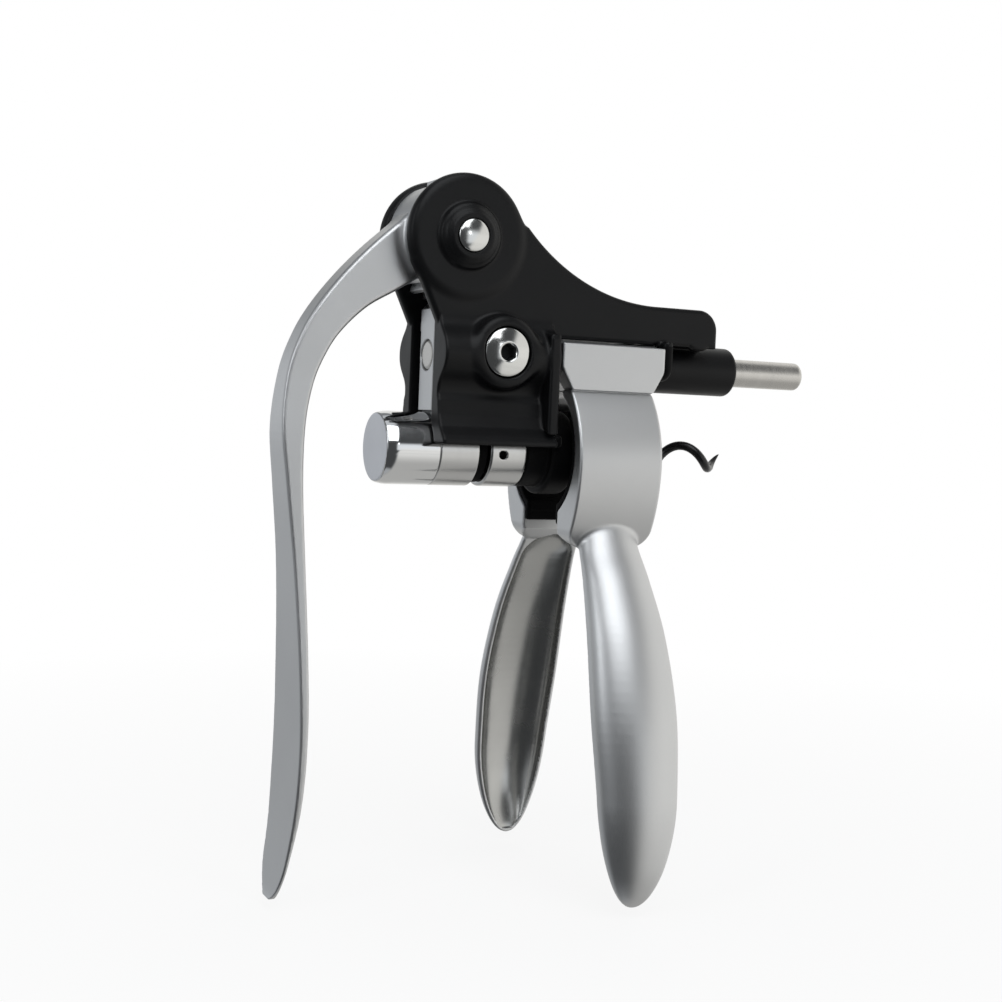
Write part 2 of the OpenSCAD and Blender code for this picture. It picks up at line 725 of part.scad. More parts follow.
module nut_lock_pin() {
    half = inner_half + lock_pin_hold - 0.2;
    color([0.7, 0.7, 0.72]) along_y(lock_pin_x, lock_pin_z, -half, half, lock_pin_d / 2);
}

// Lever
function involute(t) =
    base_r * [cos(t) + t * PI / 180 * sin(t), sin(t) - t * PI / 180 * cos(t)];
flank_steps = 5;
// Roll angle at which the involute reaches a radius
function roll_at(r) = sqrt(max(0, pow(r / base_r, 2) - 1)) * 180 / PI;
tooth_half = (tooth_step / 2 - tooth_play / 2) / 2 / pitch_r * 180 / PI;
flank_turn = tooth_half + (tan(20) * 180 / PI - 20);
function turned(p, a) = [p.x * cos(a) - p.y * sin(a), p.x * sin(a) + p.y * cos(a)];
function flank(side) = [for (k = [0:flank_steps])
    let (t0 = roll_at(max(base_r, root_r)), t = t0 + (roll_at(tip_r) - t0) * k / flank_steps, p = involute(t))
    turned([p.x, -side * p.y], side * flank_turn)];
function reversed(p) = [for (i = [len(p) - 1:-1:0]) p[i]];
function tooth() = concat(
    [root_r * [cos(flank_turn + 0.4), -sin(flank_turn + 0.4)]], flank(-1),
    reversed(flank(1)), [root_r * [cos(flank_turn + 0.4), sin(flank_turn + 0.4)]]
);
tooth_angle = 360 / tooth_count;
first_tooth = -2;
last_tooth = 13;
module toothed_sector() {
    polygon(concat([[0, 0]], [for (i = [first_tooth:last_tooth]) for (p = tooth())
        turned(p, -90 + i * tooth_angle)]));
}

smooth_from = 122;
smooth_to = 238;
module smooth_sector() {
    intersection() {
        circle(r = smooth_hub_r);
        polygon([[0, 0], 40 * [cos(smooth_from), sin(smooth_from)], [-40, 0], 40 * [cos(smooth_to), sin(smooth_to)]]);
    }
}

bush_r = pivot_pin_d / 2 + run_play + bush_wall;
module lever() {
    color([0.72, 0.73, 0.75]) difference() {
        union() {
            translate([0, 0, pivot_z]) across_y(-hub_width / 2, hub_width / 2) {
                circle(r = root_r);
                toothed_sector();
                smooth_sector();
            }
            intersection() {
                translate([0, 0, pivot_z]) across_y(-paddle_w / 2, paddle_w / 2) polygon(lever_side);
                outline_along_x(-60, 0)
                    polygon(concat(
                        [for (p = lever_front) [p.y, p.x]], [for (p = reversed(lever_front)) [-p.y, p.x]]
                    ));
            }
        }
        along_y(0, pivot_z, -hub_width, hub_width, bush_r + seat_play);
    }
}

module pivot_bush() {
    color([0.72, 0.55, 0.3]) difference() {
        along_y(0, pivot_z, -hub_width / 2, hub_width / 2, bush_r);
        along_y(0, pivot_z, -hub_width, hub_width, pivot_pin_d / 2 + run_play);
    }
}

// Carriage
rack_bed_z = worm_z + rack_bed;
stem_front = stem_length - stem_rear;
rack_screw_hold = 5;
rack_end_z = rack_root_z - rack_end_cut;
function rack_screw_x(i) = -stem_rear + stem_length * (i == 0 ? 0.25 : 0.75);
module carriage() {
    half = stem_t / 2;
    color([0.76, 0.77, 0.79]) difference() {
        union() {
            block(-stem_rear, stem_front, -half, half, worm_z + barrel_d / 2 + 0.4, rack_bed_z);
            block(-barrel_rear, stem_front, -half, half, worm_z + journal_bore_r + 1, rack_bed_z);
            along_x(-barrel_rear, barrel_front, worm_z, barrel_d / 2);
            along_x(spigot_rear, barrel_front, worm_z, cap_bore_r - seat_play);
        }
        along_x(spigot_rear - 1, barrel_front + 1, worm_z, journal_bore_r);
        along_x(-stem_rear - 1, stem_front + 1, rod_z, rod_d / 2 + seat_play);
        for (i = [0:1])
            translate([rack_screw_x(i), 0, rack_bed_z - 1.9]) cylinder(d = rack_screw_d + 2 * seat_play, h = 3);
    }
}

module rack_outline() {
    slope = tan(20);
    land = tooth_step / 4 - tooth_play / 4;
    first = ceil((-stem_rear - tooth_step / 2) / tooth_step) + 0.5;
    count = floor((rack_front + stem_rear) / tooth_step) - 1;
    polygon(concat(
        [[-stem_rear, rack_bed_z], [-stem_rear, rack_end_z], [rack_root_z - rack_end_z - stem_rear, rack_root_z]],
        [for (i = [0:count]) let (x = (first + i) * tooth_step) each [
            [x - land - slope * tooth_dedendum, rack_root_z],
            [x - land + slope * tooth_addendum, pitch_z + tooth_addendum],
            [x + land - slope * tooth_addendum, pitch_z + tooth_addendum],
            [x + land + slope * tooth_dedendum, rack_root_z]
        ]],
        [[rack_front, rack_root_z], [rack_front, rack_bed_z]]
    ));
}

module gear_rack() {
    color([0.6, 0.61, 0.63]) difference() {
        across_y(-stem_t / 2, stem_t / 2) rack_outline();
        for (i = [0:1])
            translate([rack_screw_x(i), 0, rack_bed_z - 1])
                cylinder(d = rack_screw_d + 2 * seat_play, h = rack_screw_hold - 0.5);
    }
}

module rack_screws() {
    color([0.5, 0.5, 0.52]) for (i = [0:1])
        translate([rack_screw_x(i), 0, rack_bed_z - 1.8])
            cylinder(d = rack_screw_d, h = rack_screw_hold);
}

module guide_rod() {
    round_r = 1.2;
    color([0.84, 0.84, 0.83]) union() {
        along_x(-stem_rear, rod_front - round_r, rod_z, rod_d / 2);
        translate([rod_front - round_r, 0, rod_z]) rotate([0, 90, 0])
            cylinder(r1 = rod_d / 2, r2 = rod_d / 2 - round_r, h = round_r);
    }
}

module barrel_cap() {
    taper = 5;
    face_r = cap_face_d / 2;
    color([0.8, 0.81, 0.83]) difference() {
        union() {
            along_x(cap_rear + taper, -barrel_rear, worm_z, barrel_d / 2);
            translate([cap_rear, 0, worm_z]) rotate([0, 90, 0])
                cylinder(r1 = face_r, r2 = barrel_d / 2, h = taper);
        }
        along_x(cavity_rear, -barrel_rear + 1, worm_z, cap_bore_r);
    }
}

module bumper_ring() {
    color([0.1, 0.1, 0.1])
        ring_x(barrel_front, barrel_front + bumper_t, worm_z, bumper_d / 2, worm_bore_r);
}

module thrust_washers() {
    color([0.72, 0.55, 0.3]) {
        ring_x(spigot_rear - side_play - thrust_t, spigot_rear - side_play, worm_z,
            cap_bore_r - 0.1, journal_bore_r);
        ring_x(cavity_rear + side_play, cavity_rear + side_play + thrust_t, worm_z,
            cap_bore_r - 0.1, journal_bore_r);
    }
}

// Worm
module worm() {
    color([0.1, 0.1, 0.11])
        loft([for (i = [0:worm_rings]) let (x = worm_tip - (worm_rings - i) * worm_step)
            worm_ring(x, worm_radius(x))]);
}

module worm_head() {
    color([0.55, 0.55, 0.57]) union() {
        along_x(flange_rear - 0.5, barrel_front - 1, worm_z, journal_d / 2);
        along_x(flange_rear, flange_front, worm_z, flange_d / 2);
    }
}

// Grips
// A handle is a shell that is open and hollow on its inner side
function handle_y(s) = handle_root_out + s[1] * (handle_tip_out - handle_root_out);
// Share of the hollow's size at a height, rounded off at its upper end
function hollow_share(z) =
    let (rise = (z - handle_top + hollow_below + hollow_end_r) / hollow_end_r)
    sqrt(1 - pow(min(1, max(0, rise)), 2));
// Outer side of a handle from rim to rim, and back along the hollow
function handle_ring(s) =
    let (
        first = -asin(handle_flat),
        half_w = s[2] * handle_half_w,
        half_t = s[3] * handle_half_t,
        z = s[0] * handle_top,
        share = hollow_share(z),
        in_w = max(hollow_least, max(0.35, share) * (half_w * cos(first) - handle_wall)),
        in_t = max(0, share * ((1 + handle_flat) * half_t - handle_back))
    )
    concat(
        [for (k = [0:handle_sides]) let (a = first + (180 - 2 * first) * k / handle_sides)
            [grip_x + half_w * cos(a), handle_y(s) + half_t * sin(a), z]],
        [for (k = [0:hollow_sides]) let (a = 180 - 180 * k / hollow_sides)
            [grip_x + in_w * cos(a), handle_y(s) - handle_flat * half_t + in_t * sin(a), z]]
    );
module grip_handle() {
    loft(reversed([for (s = spline(handle_stations, handle_steps)) handle_ring(s)]));
}

// Cuts the knuckle's lower corners back to the jaw
module knuckle_corners() {
    crease_z = worm_z + crease_rise;
    wide = knuckle_w / 2;
    narrow = jaw_w / 2;
    for (side = [-1, 1])
        across_y(0, jaw_half) polygon([
            [grip_x + side * narrow, crease_z], [grip_x + side * wide, crease_z + knuckle_chamfer],
            [grip_x + side * (wide + 1), crease_z + knuckle_chamfer], [grip_x + side * (wide + 1), crease_z - 1],
            [grip_x + side * narrow, crease_z - 1]
        ]);
}

jaw_curve = [for (a = [-90:3:90])
    [jaw_centre_y + jaw_outer_r * cos(a),
        worm_z + jaw_centre_rise + (a < 0 ? jaw_low_r : jaw_outer_r) * sin(a)]];
jaw_low_out = hook_half_gap + 1.6 * (jaw_outer_depth - jaw_depth);
module jaw_outline() {
    difference() {
        intersection() {
            polygon(jaw_curve);
            polygon([
                [hook_half_gap, worm_z - jaw_depth], [jaw_low_out, worm_z - jaw_outer_depth],
                [jaw_half + 1, worm_z - jaw_outer_depth],
                [jaw_half + 1, worm_z + crease_rise], [hook_half_gap, worm_z + crease_rise]
            ]);
        }
        translate([0, worm_z]) circle(r = pad_seat_r);
    }
}

// Front outline of a jaw, with rounded lower corners
module jaw_front() {
    low = worm_z - jaw_outer_depth;
    half = jaw_w / 2;
    inner = half - jaw_corner_r;
    translate([grip_x - half, low + jaw_corner_r])
        square([jaw_w, jaw_outer_depth + crease_rise - jaw_corner_r]);
    translate([grip_x - inner, low]) square([2 * inner, 2 * jaw_corner_r]);
    for (side = [-1, 1]) translate([grip_x + side * inner, low + jaw_corner_r]) circle(r = jaw_corner_r);
}

module knuckle_outline() {
    out = knuckle_half - knuckle_plate;
    translate([hinge_offset, hinge_z]) circle(r = knuckle_d / 2);
    polygon([
        [hinge_offset, hinge_z - knuckle_d / 2], [hinge_offset, hinge_z + 1], [out, hinge_z + knuckle_top - 1.4],
        [out + 0.6, hinge_z + knuckle_top], [knuckle_half, hinge_z + knuckle_top],
        [knuckle_half, worm_z + crease_rise], [hinge_offset + 1, worm_z + crease_rise]
    ]);
}

module grip() {
    color([0.75, 0.76, 0.78]) difference() {
        union() {
            intersection() {
                outline_along_x(grip_x - jaw_w / 2, grip_x + jaw_w / 2) jaw_outline();
                across_y(0, jaw_half + 1) jaw_front();
            }
            outline_along_x(grip_x - knuckle_w / 2, grip_x + knuckle_w / 2) knuckle_outline();
            grip_handle();
        }
        along_x(grip_x - knuckle_w, grip_x + knuckle_w, hinge_z, hinge_pin_d / 2 + run_play, hinge_offset);
        knuckle_corners();
    }
}

module near_grip() {
    near_side() grip();
}

module far_grip() {
    grip();
}

module pad() {
    lip_inner = hook_half_gap - pad_lip_t;
    lip_top = sqrt(pow(neck_r, 2) - pow(lip_inner, 2)) + 0.3;
    color([0.1, 0.1, 0.11]) outline_along_x(grip_x - jaw_w / 2 + 0.4, grip_x + jaw_w / 2 - 0.4) {
        difference() {
            translate([0, worm_z]) circle(r = pad_seat_r - seat_play);
            translate([0, worm_z]) circle(r = neck_r);
            translate([-jaw_half, worm_z - jaw_half]) square([jaw_half + lip_inner, 2 * jaw_half]);
            translate([-jaw_half, worm_z + pad_rise]) square(2 * jaw_half);
        }
        translate([lip_inner, worm_z - pad_drop]) square([hook_half_gap - seat_play - lip_inner, pad_drop - lip_top]);
    }
}

module near_pad() {
    near_side() pad();
}

module far_pad() {
    pad();
}

place() near_cheek();
place() far_cheek();
place() pivot_pin();
place() hub_washers();
place() near_bolt();
place() far_bolt();
place() rear_rod_guide();
place() front_rod_guide();
place() near_hinge_pin();
place() far_hinge_pin();
place() nut_bush();
place() nut_drive_pins();
place() nut_block();
place() nut_lock_pin();
place() lever();
place() pivot_bush();
place() carriage();
place() gear_rack();
place() rack_screws();
place() guide_rod();
place() barrel_cap();
place() bumper_ring();
place() thrust_washers();
place() worm();
place() worm_head();
place() near_grip();
place() far_grip();
place() near_pad();
place() far_pad();
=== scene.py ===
import math

import bmesh
import bpy
import numpy as np
from mathutils import Matrix, Vector


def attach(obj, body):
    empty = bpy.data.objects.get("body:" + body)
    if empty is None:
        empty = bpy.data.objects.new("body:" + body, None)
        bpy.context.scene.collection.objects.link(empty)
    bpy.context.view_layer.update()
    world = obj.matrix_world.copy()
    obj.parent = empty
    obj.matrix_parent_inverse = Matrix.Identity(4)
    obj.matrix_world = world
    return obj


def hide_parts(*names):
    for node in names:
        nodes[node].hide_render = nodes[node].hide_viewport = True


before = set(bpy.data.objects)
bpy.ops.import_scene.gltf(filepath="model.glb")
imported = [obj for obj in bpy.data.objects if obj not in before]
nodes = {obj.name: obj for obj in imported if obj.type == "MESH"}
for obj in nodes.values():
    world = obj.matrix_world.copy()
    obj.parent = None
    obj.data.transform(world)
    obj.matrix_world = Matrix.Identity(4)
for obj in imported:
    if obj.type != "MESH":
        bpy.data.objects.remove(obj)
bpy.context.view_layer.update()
scene = bpy.context.scene

# All shapes are written in millimetres: X from the lever pivot, Z from the part's foot, as in the part's source.
MID = 31.85                                    # middle of the part, where the frame has X = 0
WZ = 111.6                                     # worm axis
ROD_Z, ROD_R = WZ + 23.6, 3.85                 # guide rod
HINGE_Y, HZ = 9.3, WZ + 24.0                   # grip hinge axis
BOLT_X, BOLT_Z = 10, WZ + 24.8                 # socket bolt axis
PZ = 164.4                                     # lever pivot
INNER, WALL = 7.35, 10.75                      # inner and outer face of a cheek's wall
DISC_Y, BOSS_Y, PIN_Y = 11.55, 14.15, 14.85    # faces of the hub disc, its boss and the lever's pin
ARM_TOP, ARM_LOW = WZ + 39.4, WZ + 29.3        # upper and lower edge of the arm
REAR_X, BLOCK_X = -6.8, 24.6                   # ends of a cheek's lower block
SKIRT_Y = 16                                   # outer edge of a cheek's skirt and front web
GUIDE_X = 59.35                                # rear face of the front guide
GRIP_X = 40.4                                  # middle of the grips
DRUM_R = 9.2                                   # cap, barrel and nut ring


# ---- signed distance helpers ----
def length(*v):
    return np.sqrt(sum(c * c for c in v))


def smin(a, b, k):
    """Smaller of two distances, blended over a width of k."""
    h = np.maximum(k - np.abs(a - b), 0.0) / k
    return np.minimum(a, b) - h * h * k * 0.25


def smax(a, b, k):
    return -smin(-a, -b, k)


def union(k, *ds):
    d = ds[0]
    for e in ds[1:]:
        d = smin(d, e, k)
    return d


def slab(t, lo, hi):
    return np.abs(t - (lo + hi) / 2) - (hi - lo) / 2


def polygon(u, v, pts):
    """Signed distance to a closed outline in two dimensions."""
    pts = [(float(a), float(b)) for a, b in pts]
    best = None
    inside = None
    for (x0, y0), (x1, y1) in zip(pts, pts[1:] + pts[:1]):
        ex, ey = x1 - x0, y1 - y0
        wx, wy = u - x0, v - y0
        t = np.clip((wx * ex + wy * ey) / (ex * ex + ey * ey), 0, 1)
        d = (wx - ex * t) ** 2 + (wy - ey * t) ** 2
        best = d if best is None else np.minimum(best, d)
        if y0 != y1:
            hit = ((v >= min(y0, y1)) & (v < max(y0, y1))) & (u < x0 + (v - y0) / (y1 - y0) * ex)
            inside = hit if inside is None else inside ^ hit
    return np.where(inside, -1.0, 1.0) * np.sqrt(best)


def spline(pts, n):
    """Catmull-Rom curve through points, n steps for each span."""
    p = np.array(pts, float)
    out = []
    for i in range(len(p) - 1):
        a, b, c, d = p[max(i - 1, 0)], p[i], p[i + 1], p[min(i + 2, len(p) - 1)]
        for k in range(n):
            t = k / n
            out.append(0.5 * (2 * b + (c - a) * t + (2 * a - 5 * b + 4 * c - d) * t * t
                              + (3 * b - a - 3 * c + d) * t ** 3))
    return np.array(out + [p[-1]])


def surface(sdf, lo, hi, step):
    """Vertices, quads and normals of the zero surface of a distance function."""
    ax = [np.arange(l - step * 1.5, h + step * 2.5, step) for l, h in zip(lo, hi)]
    shape = tuple(len(a) for a in ax)
    f = np.broadcast_to(sdf(ax[0][:, None, None], ax[1][None, :, None], ax[2][None, None, :]), shape)
    f = np.ascontiguousarray(f, dtype=np.float64)
    s = f < 0
    # One vertex for each cell that the surface crosses, at the middle of its edges' crossings
    cells = tuple(n - 1 for n in shape)
    count = np.zeros(cells)
    total = [np.zeros(cells) for _ in range(3)]
    corner = lambda a, dx, dy, dz: a[dx:dx + cells[0], dy:dy + cells[1], dz:dz + cells[2]]
    for axis in range(3):
        others = [a for a in range(3) if a != axis]
        for p in range(4):
            d0 = [0, 0, 0]
            d0[others[0]], d0[others[1]] = p & 1, p >> 1
            d1 = list(d0)
            d1[axis] = 1
            f0, f1 = corner(f, *d0), corner(f, *d1)
            cut = (f0 < 0) != (f1 < 0)
            t = np.where(cut, f0 / np.where(cut, f0 - f1, 1), 0)
            for a in range(3):
                total[a] += np.where(cut, d0[a] + (t if a == axis else 0), 0)
            count += cut
    live = count > 0
    index = np.full(cells, -1)
    index[live] = np.arange(live.sum())
    where = np.argwhere(live)
    v = np.stack([ax[a][0] + step * (where[:, a] + total[a][live] / count[live]) for a in range(3)], 1)
    # One quad for each grid edge that the surface crosses
    quads = []
    for axis in range(3):
        b, c = (axis + 1) % 3, (axis + 2) % 3
        sl0 = [slice(None)] * 3
        sl1 = [slice(None)] * 3
        sl0[axis], sl1[axis] = slice(0, -1), slice(1, None)
        cut = s[tuple(sl0)] != s[tuple(sl1)]
        e = np.argwhere(cut)
        e = e[(e[:, b] > 0) & (e[:, c] > 0) & (e[:, b] < cells[b]) & (e[:, c] < cells[c])]
        q = []
        for db, dc in ((1, 1), (0, 1), (0, 0), (1, 0)):
            g = e.copy()
            g[:, b] -= db
            g[:, c] -= dc
            q.append(index[g[:, 0], g[:, 1], g[:, 2]])
        q = np.stack(q, 1)
        flip = ~s[e[:, 0], e[:, 1], e[:, 2]]
        q[flip] = q[flip][:, ::-1]
        quads.append(q)
    quads = np.concatenate(quads)
    at = lambda p: np.broadcast_to(sdf(p[:, 0], p[:, 1], p[:, 2]), (len(p),))
    eps = 0.02

    def slope(p):
        return np.stack([at(p + eps * np.eye(3)[a]) - at(p - eps * np.eye(3)[a]) for a in range(3)], 1) / (2 * eps)

    # Two short steps onto the surface
    for _ in range(2):
        g = slope(v)
        n2 = np.maximum((g * g).sum(1), 0.05)
        move = -(at(v) / n2)[:, None] * g
        far = np.maximum(np.linalg.norm(move, axis=1) / (0.8 * step), 1)
        v = v + move / far[:, None]
    g = slope(v)
    n = g / np.maximum(np.linalg.norm(g, axis=1), 1e-6)[:, None]
    return v, quads, n


def to_frame(v):
    """Metres in the part's frame."""
    v = np.asarray(v, float)
    return (v - np.array([MID, 0, 0])) * 0.001


def mesh_object(name, v, faces, normals=None, smooth=True):
    me = bpy.data.meshes.new(name)
    me.from_pydata(to_frame(v).tolist(), [], [tuple(int(i) for i in f) for f in faces])
    if smooth:
        me.polygons.foreach_set("use_smooth", np.ones(len(me.polygons), bool))
    me.update()
    if normals is not None:
        me.normals_split_custom_set_from_vertices(normals.tolist())
    o = bpy.data.objects.new(name, me)
    scene.collection.objects.link(o)
    return o


def mirrored(v, q, n):
    m = np.array([1, -1, 1])
    return v * m, q[:, ::-1], n * m


def place(o, body, slot, material, *replaced):
    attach(o, body)
    o.data.materials.clear()
    o.data.materials.append(material)
    if replaced:
        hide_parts(*replaced)
    return o


def shape(name, sdf, lo, hi, step, body, slot, material, *replaced):
    return place(mesh_object(name, *surface(sdf, lo, hi, step)), body, slot, material, *replaced)


def pair(stem, sdf, lo, hi, step, bodies, slot, material, node):
    """The far piece and its mirror twin; bodies are near and far."""
    far = surface(sdf, lo, hi, step)
    near = mirrored(*far)
    return [place(mesh_object("far_" + stem, *far), bodies[1], slot, material, "far_" + node),
            place(mesh_object("near_" + stem, *near), bodies[0], slot, material, "near_" + node)]


def repaint(o, material, test):
    """Gives a second material to the faces whose middle passes a test on x, y and z in millimetres."""
    o.data.materials.append(material)
    mid = np.zeros(len(o.data.polygons) * 3)
    o.data.polygons.foreach_get("center", mid)
    x, y, z = (mid.reshape(-1, 3) * 1000 + np.array([MID, 0, 0])).T
    o.data.polygons.foreach_set("material_index", test(x, y, z).astype(np.int32))


LONG_RUN, HOLD = 1.2, 0.3


def lathe(name, profile, centre, axis, turns=96, soft=0.0):
    """Revolves (along, radius) points about an axis through centre, with corners softened over a length."""
    pts = []
    for i, (a, r) in enumerate(profile):
        if soft and 0 < i < len(profile) - 1:
            p0, p1, p2 = (np.array(profile[j], float) for j in (i - 1, i, i + 1))
            l0, l1 = np.linalg.norm(p0 - p1), np.linalg.norm(p2 - p1)
            c = min(soft, 0.45 * l0, 0.45 * l1)
            s0, s1 = p1 + (p0 - p1) / l0 * c, p1 + (p2 - p1) / l1 * c
            for t in np.linspace(0, 1, 6):
                pts.append((1 - t) ** 2 * s0 + 2 * t * (1 - t) * p1 + t * t * s1)
        else:
            pts.append(np.array((a, r), float))
    # Rings close to both ends keep the shading of a long run even
    held = [pts[0]]
    for p, q in zip(pts, pts[1:]):
        run = np.linalg.norm(q - p)
        if run > LONG_RUN:
            held += [p + (q - p) * HOLD / run, q - (q - p) * HOLD / run]
        held.append(q)
    v, rows = [], []
    for a, r in held:
        if r < 1e-6:
            rows.append([len(v)])
            v.append((a, 0, 0))
        else:
            rows.append(list(range(len(v), len(v) + turns)))
            v += [(a, r * math.cos(2 * math.pi * k / turns), r * math.sin(2 * math.pi * k / turns))
                  for k in range(turns)]
    faces = []
    for p, q in zip(rows, rows[1:]):
        for k in range(turns):
            j = (k + 1) % turns
            if len(p) == 1 and len(q) == 1:
                continue
            if len(p) == 1:
                faces.append((p[0], q[j], q[k]))
            elif len(q) == 1:
                faces.append((p[k], p[j], q[0]))
            else:
                faces.append((p[k], p[j], q[j], q[k]))
    v = np.array(v)
    if axis == "y":
        v = v[:, [1, 0, 2]]
        faces = [f[::-1] for f in faces]
    o = mesh_object(name, v + np.array(centre), faces)
    bm = bmesh.new()
    bm.from_mesh(o.data)
    bmesh.ops.recalc_face_normals(bm, faces=bm.faces)
    bm.to_mesh(o.data)
    bm.free()
    o.data.polygons.foreach_set("use_smooth", np.ones(len(o.data.polygons), bool))
    return o


# ---- materials ----
def material(name, color, metallic, roughness, vary=0.06, grain_scale=140.0, bump=0.0, bump_scale=400.0,
             coat=0.0, spread=0.08, stretch=(1, 1, 1), spec=0.5):
    """Broad noise varies the colour, a finer one the roughness and, with bump, the surface."""
    m = bpy.data.materials.new(name)
    m.use_nodes = True
    nt = m.node_tree
    b = nt.nodes["Principled BSDF"]
    b.inputs["Metallic"].default_value = metallic
    b.inputs["Specular IOR Level"].default_value = spec
    if coat:
        b.inputs["Coat Weight"].default_value = coat
        b.inputs["Coat Roughness"].default_value = 0.12
    co = nt.nodes.new("ShaderNodeTexCoord")
    mp = nt.nodes.new("ShaderNodeMapping")
    mp.inputs["Scale"].default_value = stretch
    nt.links.new(co.outputs["Object"], mp.inputs["Vector"])

    def noise(scale, detail=3.0):
        n = nt.nodes.new("ShaderNodeTexNoise")
        n.inputs["Scale"].default_value = scale
        n.inputs["Detail"].default_value = detail
        nt.links.new(mp.outputs["Vector"], n.inputs["Vector"])
        return n

    def ramp(src, lo, hi):
        r = nt.nodes.new("ShaderNodeMapRange")
        r.inputs["From Min"].default_value = 0.3
        r.inputs["From Max"].default_value = 0.7
        r.inputs["To Min"].default_value = lo
        r.inputs["To Max"].default_value = hi
        nt.links.new(src.outputs["Fac"], r.inputs["Value"])
        return r

    broad = noise(60.0)
    mix = nt.nodes.new("ShaderNodeMix")
    mix.data_type = "RGBA"
    mix.inputs["A"].default_value = tuple(c * (1 - vary) for c in color) + (1,)
    mix.inputs["B"].default_value = tuple(min(1, c * (1 + vary)) for c in color) + (1,)
    nt.links.new(broad.outputs["Fac"], mix.inputs["Factor"])
    nt.links.new(mix.outputs["Result"], b.inputs["Base Color"])
    fine = noise(grain_scale, 2.0)
    nt.links.new(ramp(fine, roughness * (1 - spread), roughness * (1 + spread)).outputs["Result"],
                 b.inputs["Roughness"])
    if bump:
        bn = nt.nodes.new("ShaderNodeBump")
        bn.inputs["Strength"].default_value = bump
        bn.inputs["Distance"].default_value = 0.00005
        nt.links.new(noise(bump_scale, 2.0).outputs["Fac"], bn.inputs["Height"])
        nt.links.new(bn.outputs["Normal"], b.inputs["Normal"])
    return m


BLACK = material("moulded_black", (0.0042, 0.0043, 0.0048), 0.0, 0.36, vary=0.12, bump=0.25, bump_scale=2600.0,
                 spec=0.22)
BLACK_IN = material("moulded_black_inner", (0.006, 0.006, 0.0065), 0.0, 0.45, vary=0.1, bump=0.2, bump_scale=2200.0,
                    spec=0.2)
SATIN = material("satin_silver", (0.62, 0.625, 0.63), 1.0, 0.38, vary=0.03, grain_scale=2400.0,
                 bump=0.08, bump_scale=3000.0)
SATIN_GRIP = material("satin_silver_grip", (0.65, 0.655, 0.66), 1.0, 0.41, vary=0.03, grain_scale=2400.0,
                      bump=0.03, bump_scale=2200.0)
SATIN_SOFT = material("satin_silver_ring", (0.62, 0.62, 0.615), 1.0, 0.24, vary=0.03, bump=0.03, bump_scale=1200.0,
                      stretch=(6, 1, 1))
# Glossier finish of the grips' hollows, darker than the shell as painted shade
GLOSS_AND_SHADE = material("glossy_hollow_and_painted_shade", (0.47, 0.47, 0.46), 1.0, 0.25, vary=0.05, spread=0.15, bump=0.04,
                 bump_scale=1500.0)
CHROME = material("polished_chrome", (0.74, 0.745, 0.75), 1.0, 0.10, vary=0.02, spread=0.2)
TURNED = material("turned_chrome", (0.66, 0.66, 0.645), 1.0, 0.13, vary=0.03, spread=0.2)
CAP_FACE = material("brushed_cap_face", (0.60, 0.61, 0.64), 1.0, 0.34, vary=0.04, bump=0.05, bump_scale=2000.0)
STEEL = material("turned_steel", (0.60, 0.585, 0.56), 1.0, 0.26, vary=0.09, bump=0.08, bump_scale=500.0,
                 stretch=(8, 1, 1))
PLAIN_STEEL = material("plain_steel", (0.5, 0.5, 0.5), 1.0, 0.32, vary=0.06)
# Near-black painted shade for the drive pins and the bolts' sockets
PAINTED_SHADE_BLACK = material("painted_shade_black", (0.02, 0.02, 0.021), 0.0, 0.5, vary=0.1, spec=0.15)
BRONZE = material("bearing_bronze", (0.5, 0.33, 0.16), 1.0, 0.35, vary=0.08)
COATED = material("black_coating", (0.006, 0.006, 0.0065), 0.0, 0.28, vary=0.1, coat=0.15, spec=0.3)
# Duller, darker black: the nut housing's finish, and painted shade on the cheeks' ears
DULL_AND_SHADE = material("dull_black_and_painted_shade", (0.0032, 0.0032, 0.0035), 0.0, 0.5, vary=0.12, bump=0.2, bump_scale=2200.0,
                spec=0.10)
RUBBER = material("black_rubber", (0.003, 0.003, 0.0032), 0.0, 0.6, vary=0.12, bump=0.3, bump_scale=1800.0,
                  spec=0.06)

# CAD nodes that stay as they are; the drive pins get near-black painted shade, which stands for the shade in the nut
# ring's holes that they fill
DEFAULTS = {
    "rear_rod_guide": BLACK_IN, "near_hinge_pin": PLAIN_STEEL, "far_hinge_pin": PLAIN_STEEL,
    "nut_drive_pins": PAINTED_SHADE_BLACK, "nut_lock_pin": PLAIN_STEEL, "hub_washers": PLAIN_STEEL,
    "rack_screws": PLAIN_STEEL, "worm_head": PLAIN_STEEL, "pivot_bush": BRONZE, "thrust_washers": BRONZE,
    "gear_rack": PLAIN_STEEL,
}
for n, m in DEFAULTS.items():
    nodes[n].data.materials.clear()
    nodes[n].data.materials.append(m)


# ---- cheeks ----
SWEEP_R, DISC_R = 51.5, 15.67
SWEEP_Z = ARM_TOP + SWEEP_R
SWEEP_X = math.sqrt((DISC_R + SWEEP_R) ** 2 - (SWEEP_Z - PZ) ** 2)
ARM_END, ARM_ROUND = 74.2, 5.5
ROUND_X, ROUND_Z = ARM_END - ARM_ROUND, ARM_TOP - ARM_ROUND
BLOCK_Z = WZ + 8
BOSS_STEPS = [(8.2, 12.85, 1.2), (7.0, 13.6, 1.0), (5.9, BOSS_Y, 0.9)]    # radius, face, edge rounding
HINGE_BARREL_R, SADDLE_R, EAR_R = 6.3, 9.8, 4.2
EAR_X, EAR_Y = (56.2, 59.3), 4.65
BOLT_BOSS_R, BOLT_BOSS_Y = 9.3, 15.2
BOLT_SEAT_R, BOLT_SEAT_Y = 6.45, 13.8
LEVER_PIN_BORE, BOLT_BORE = 4.1, 2.55
HINGE_BORE, HINGE_BORE_X = 2.53, 14.2    # the hinge pin's hole and its rear end


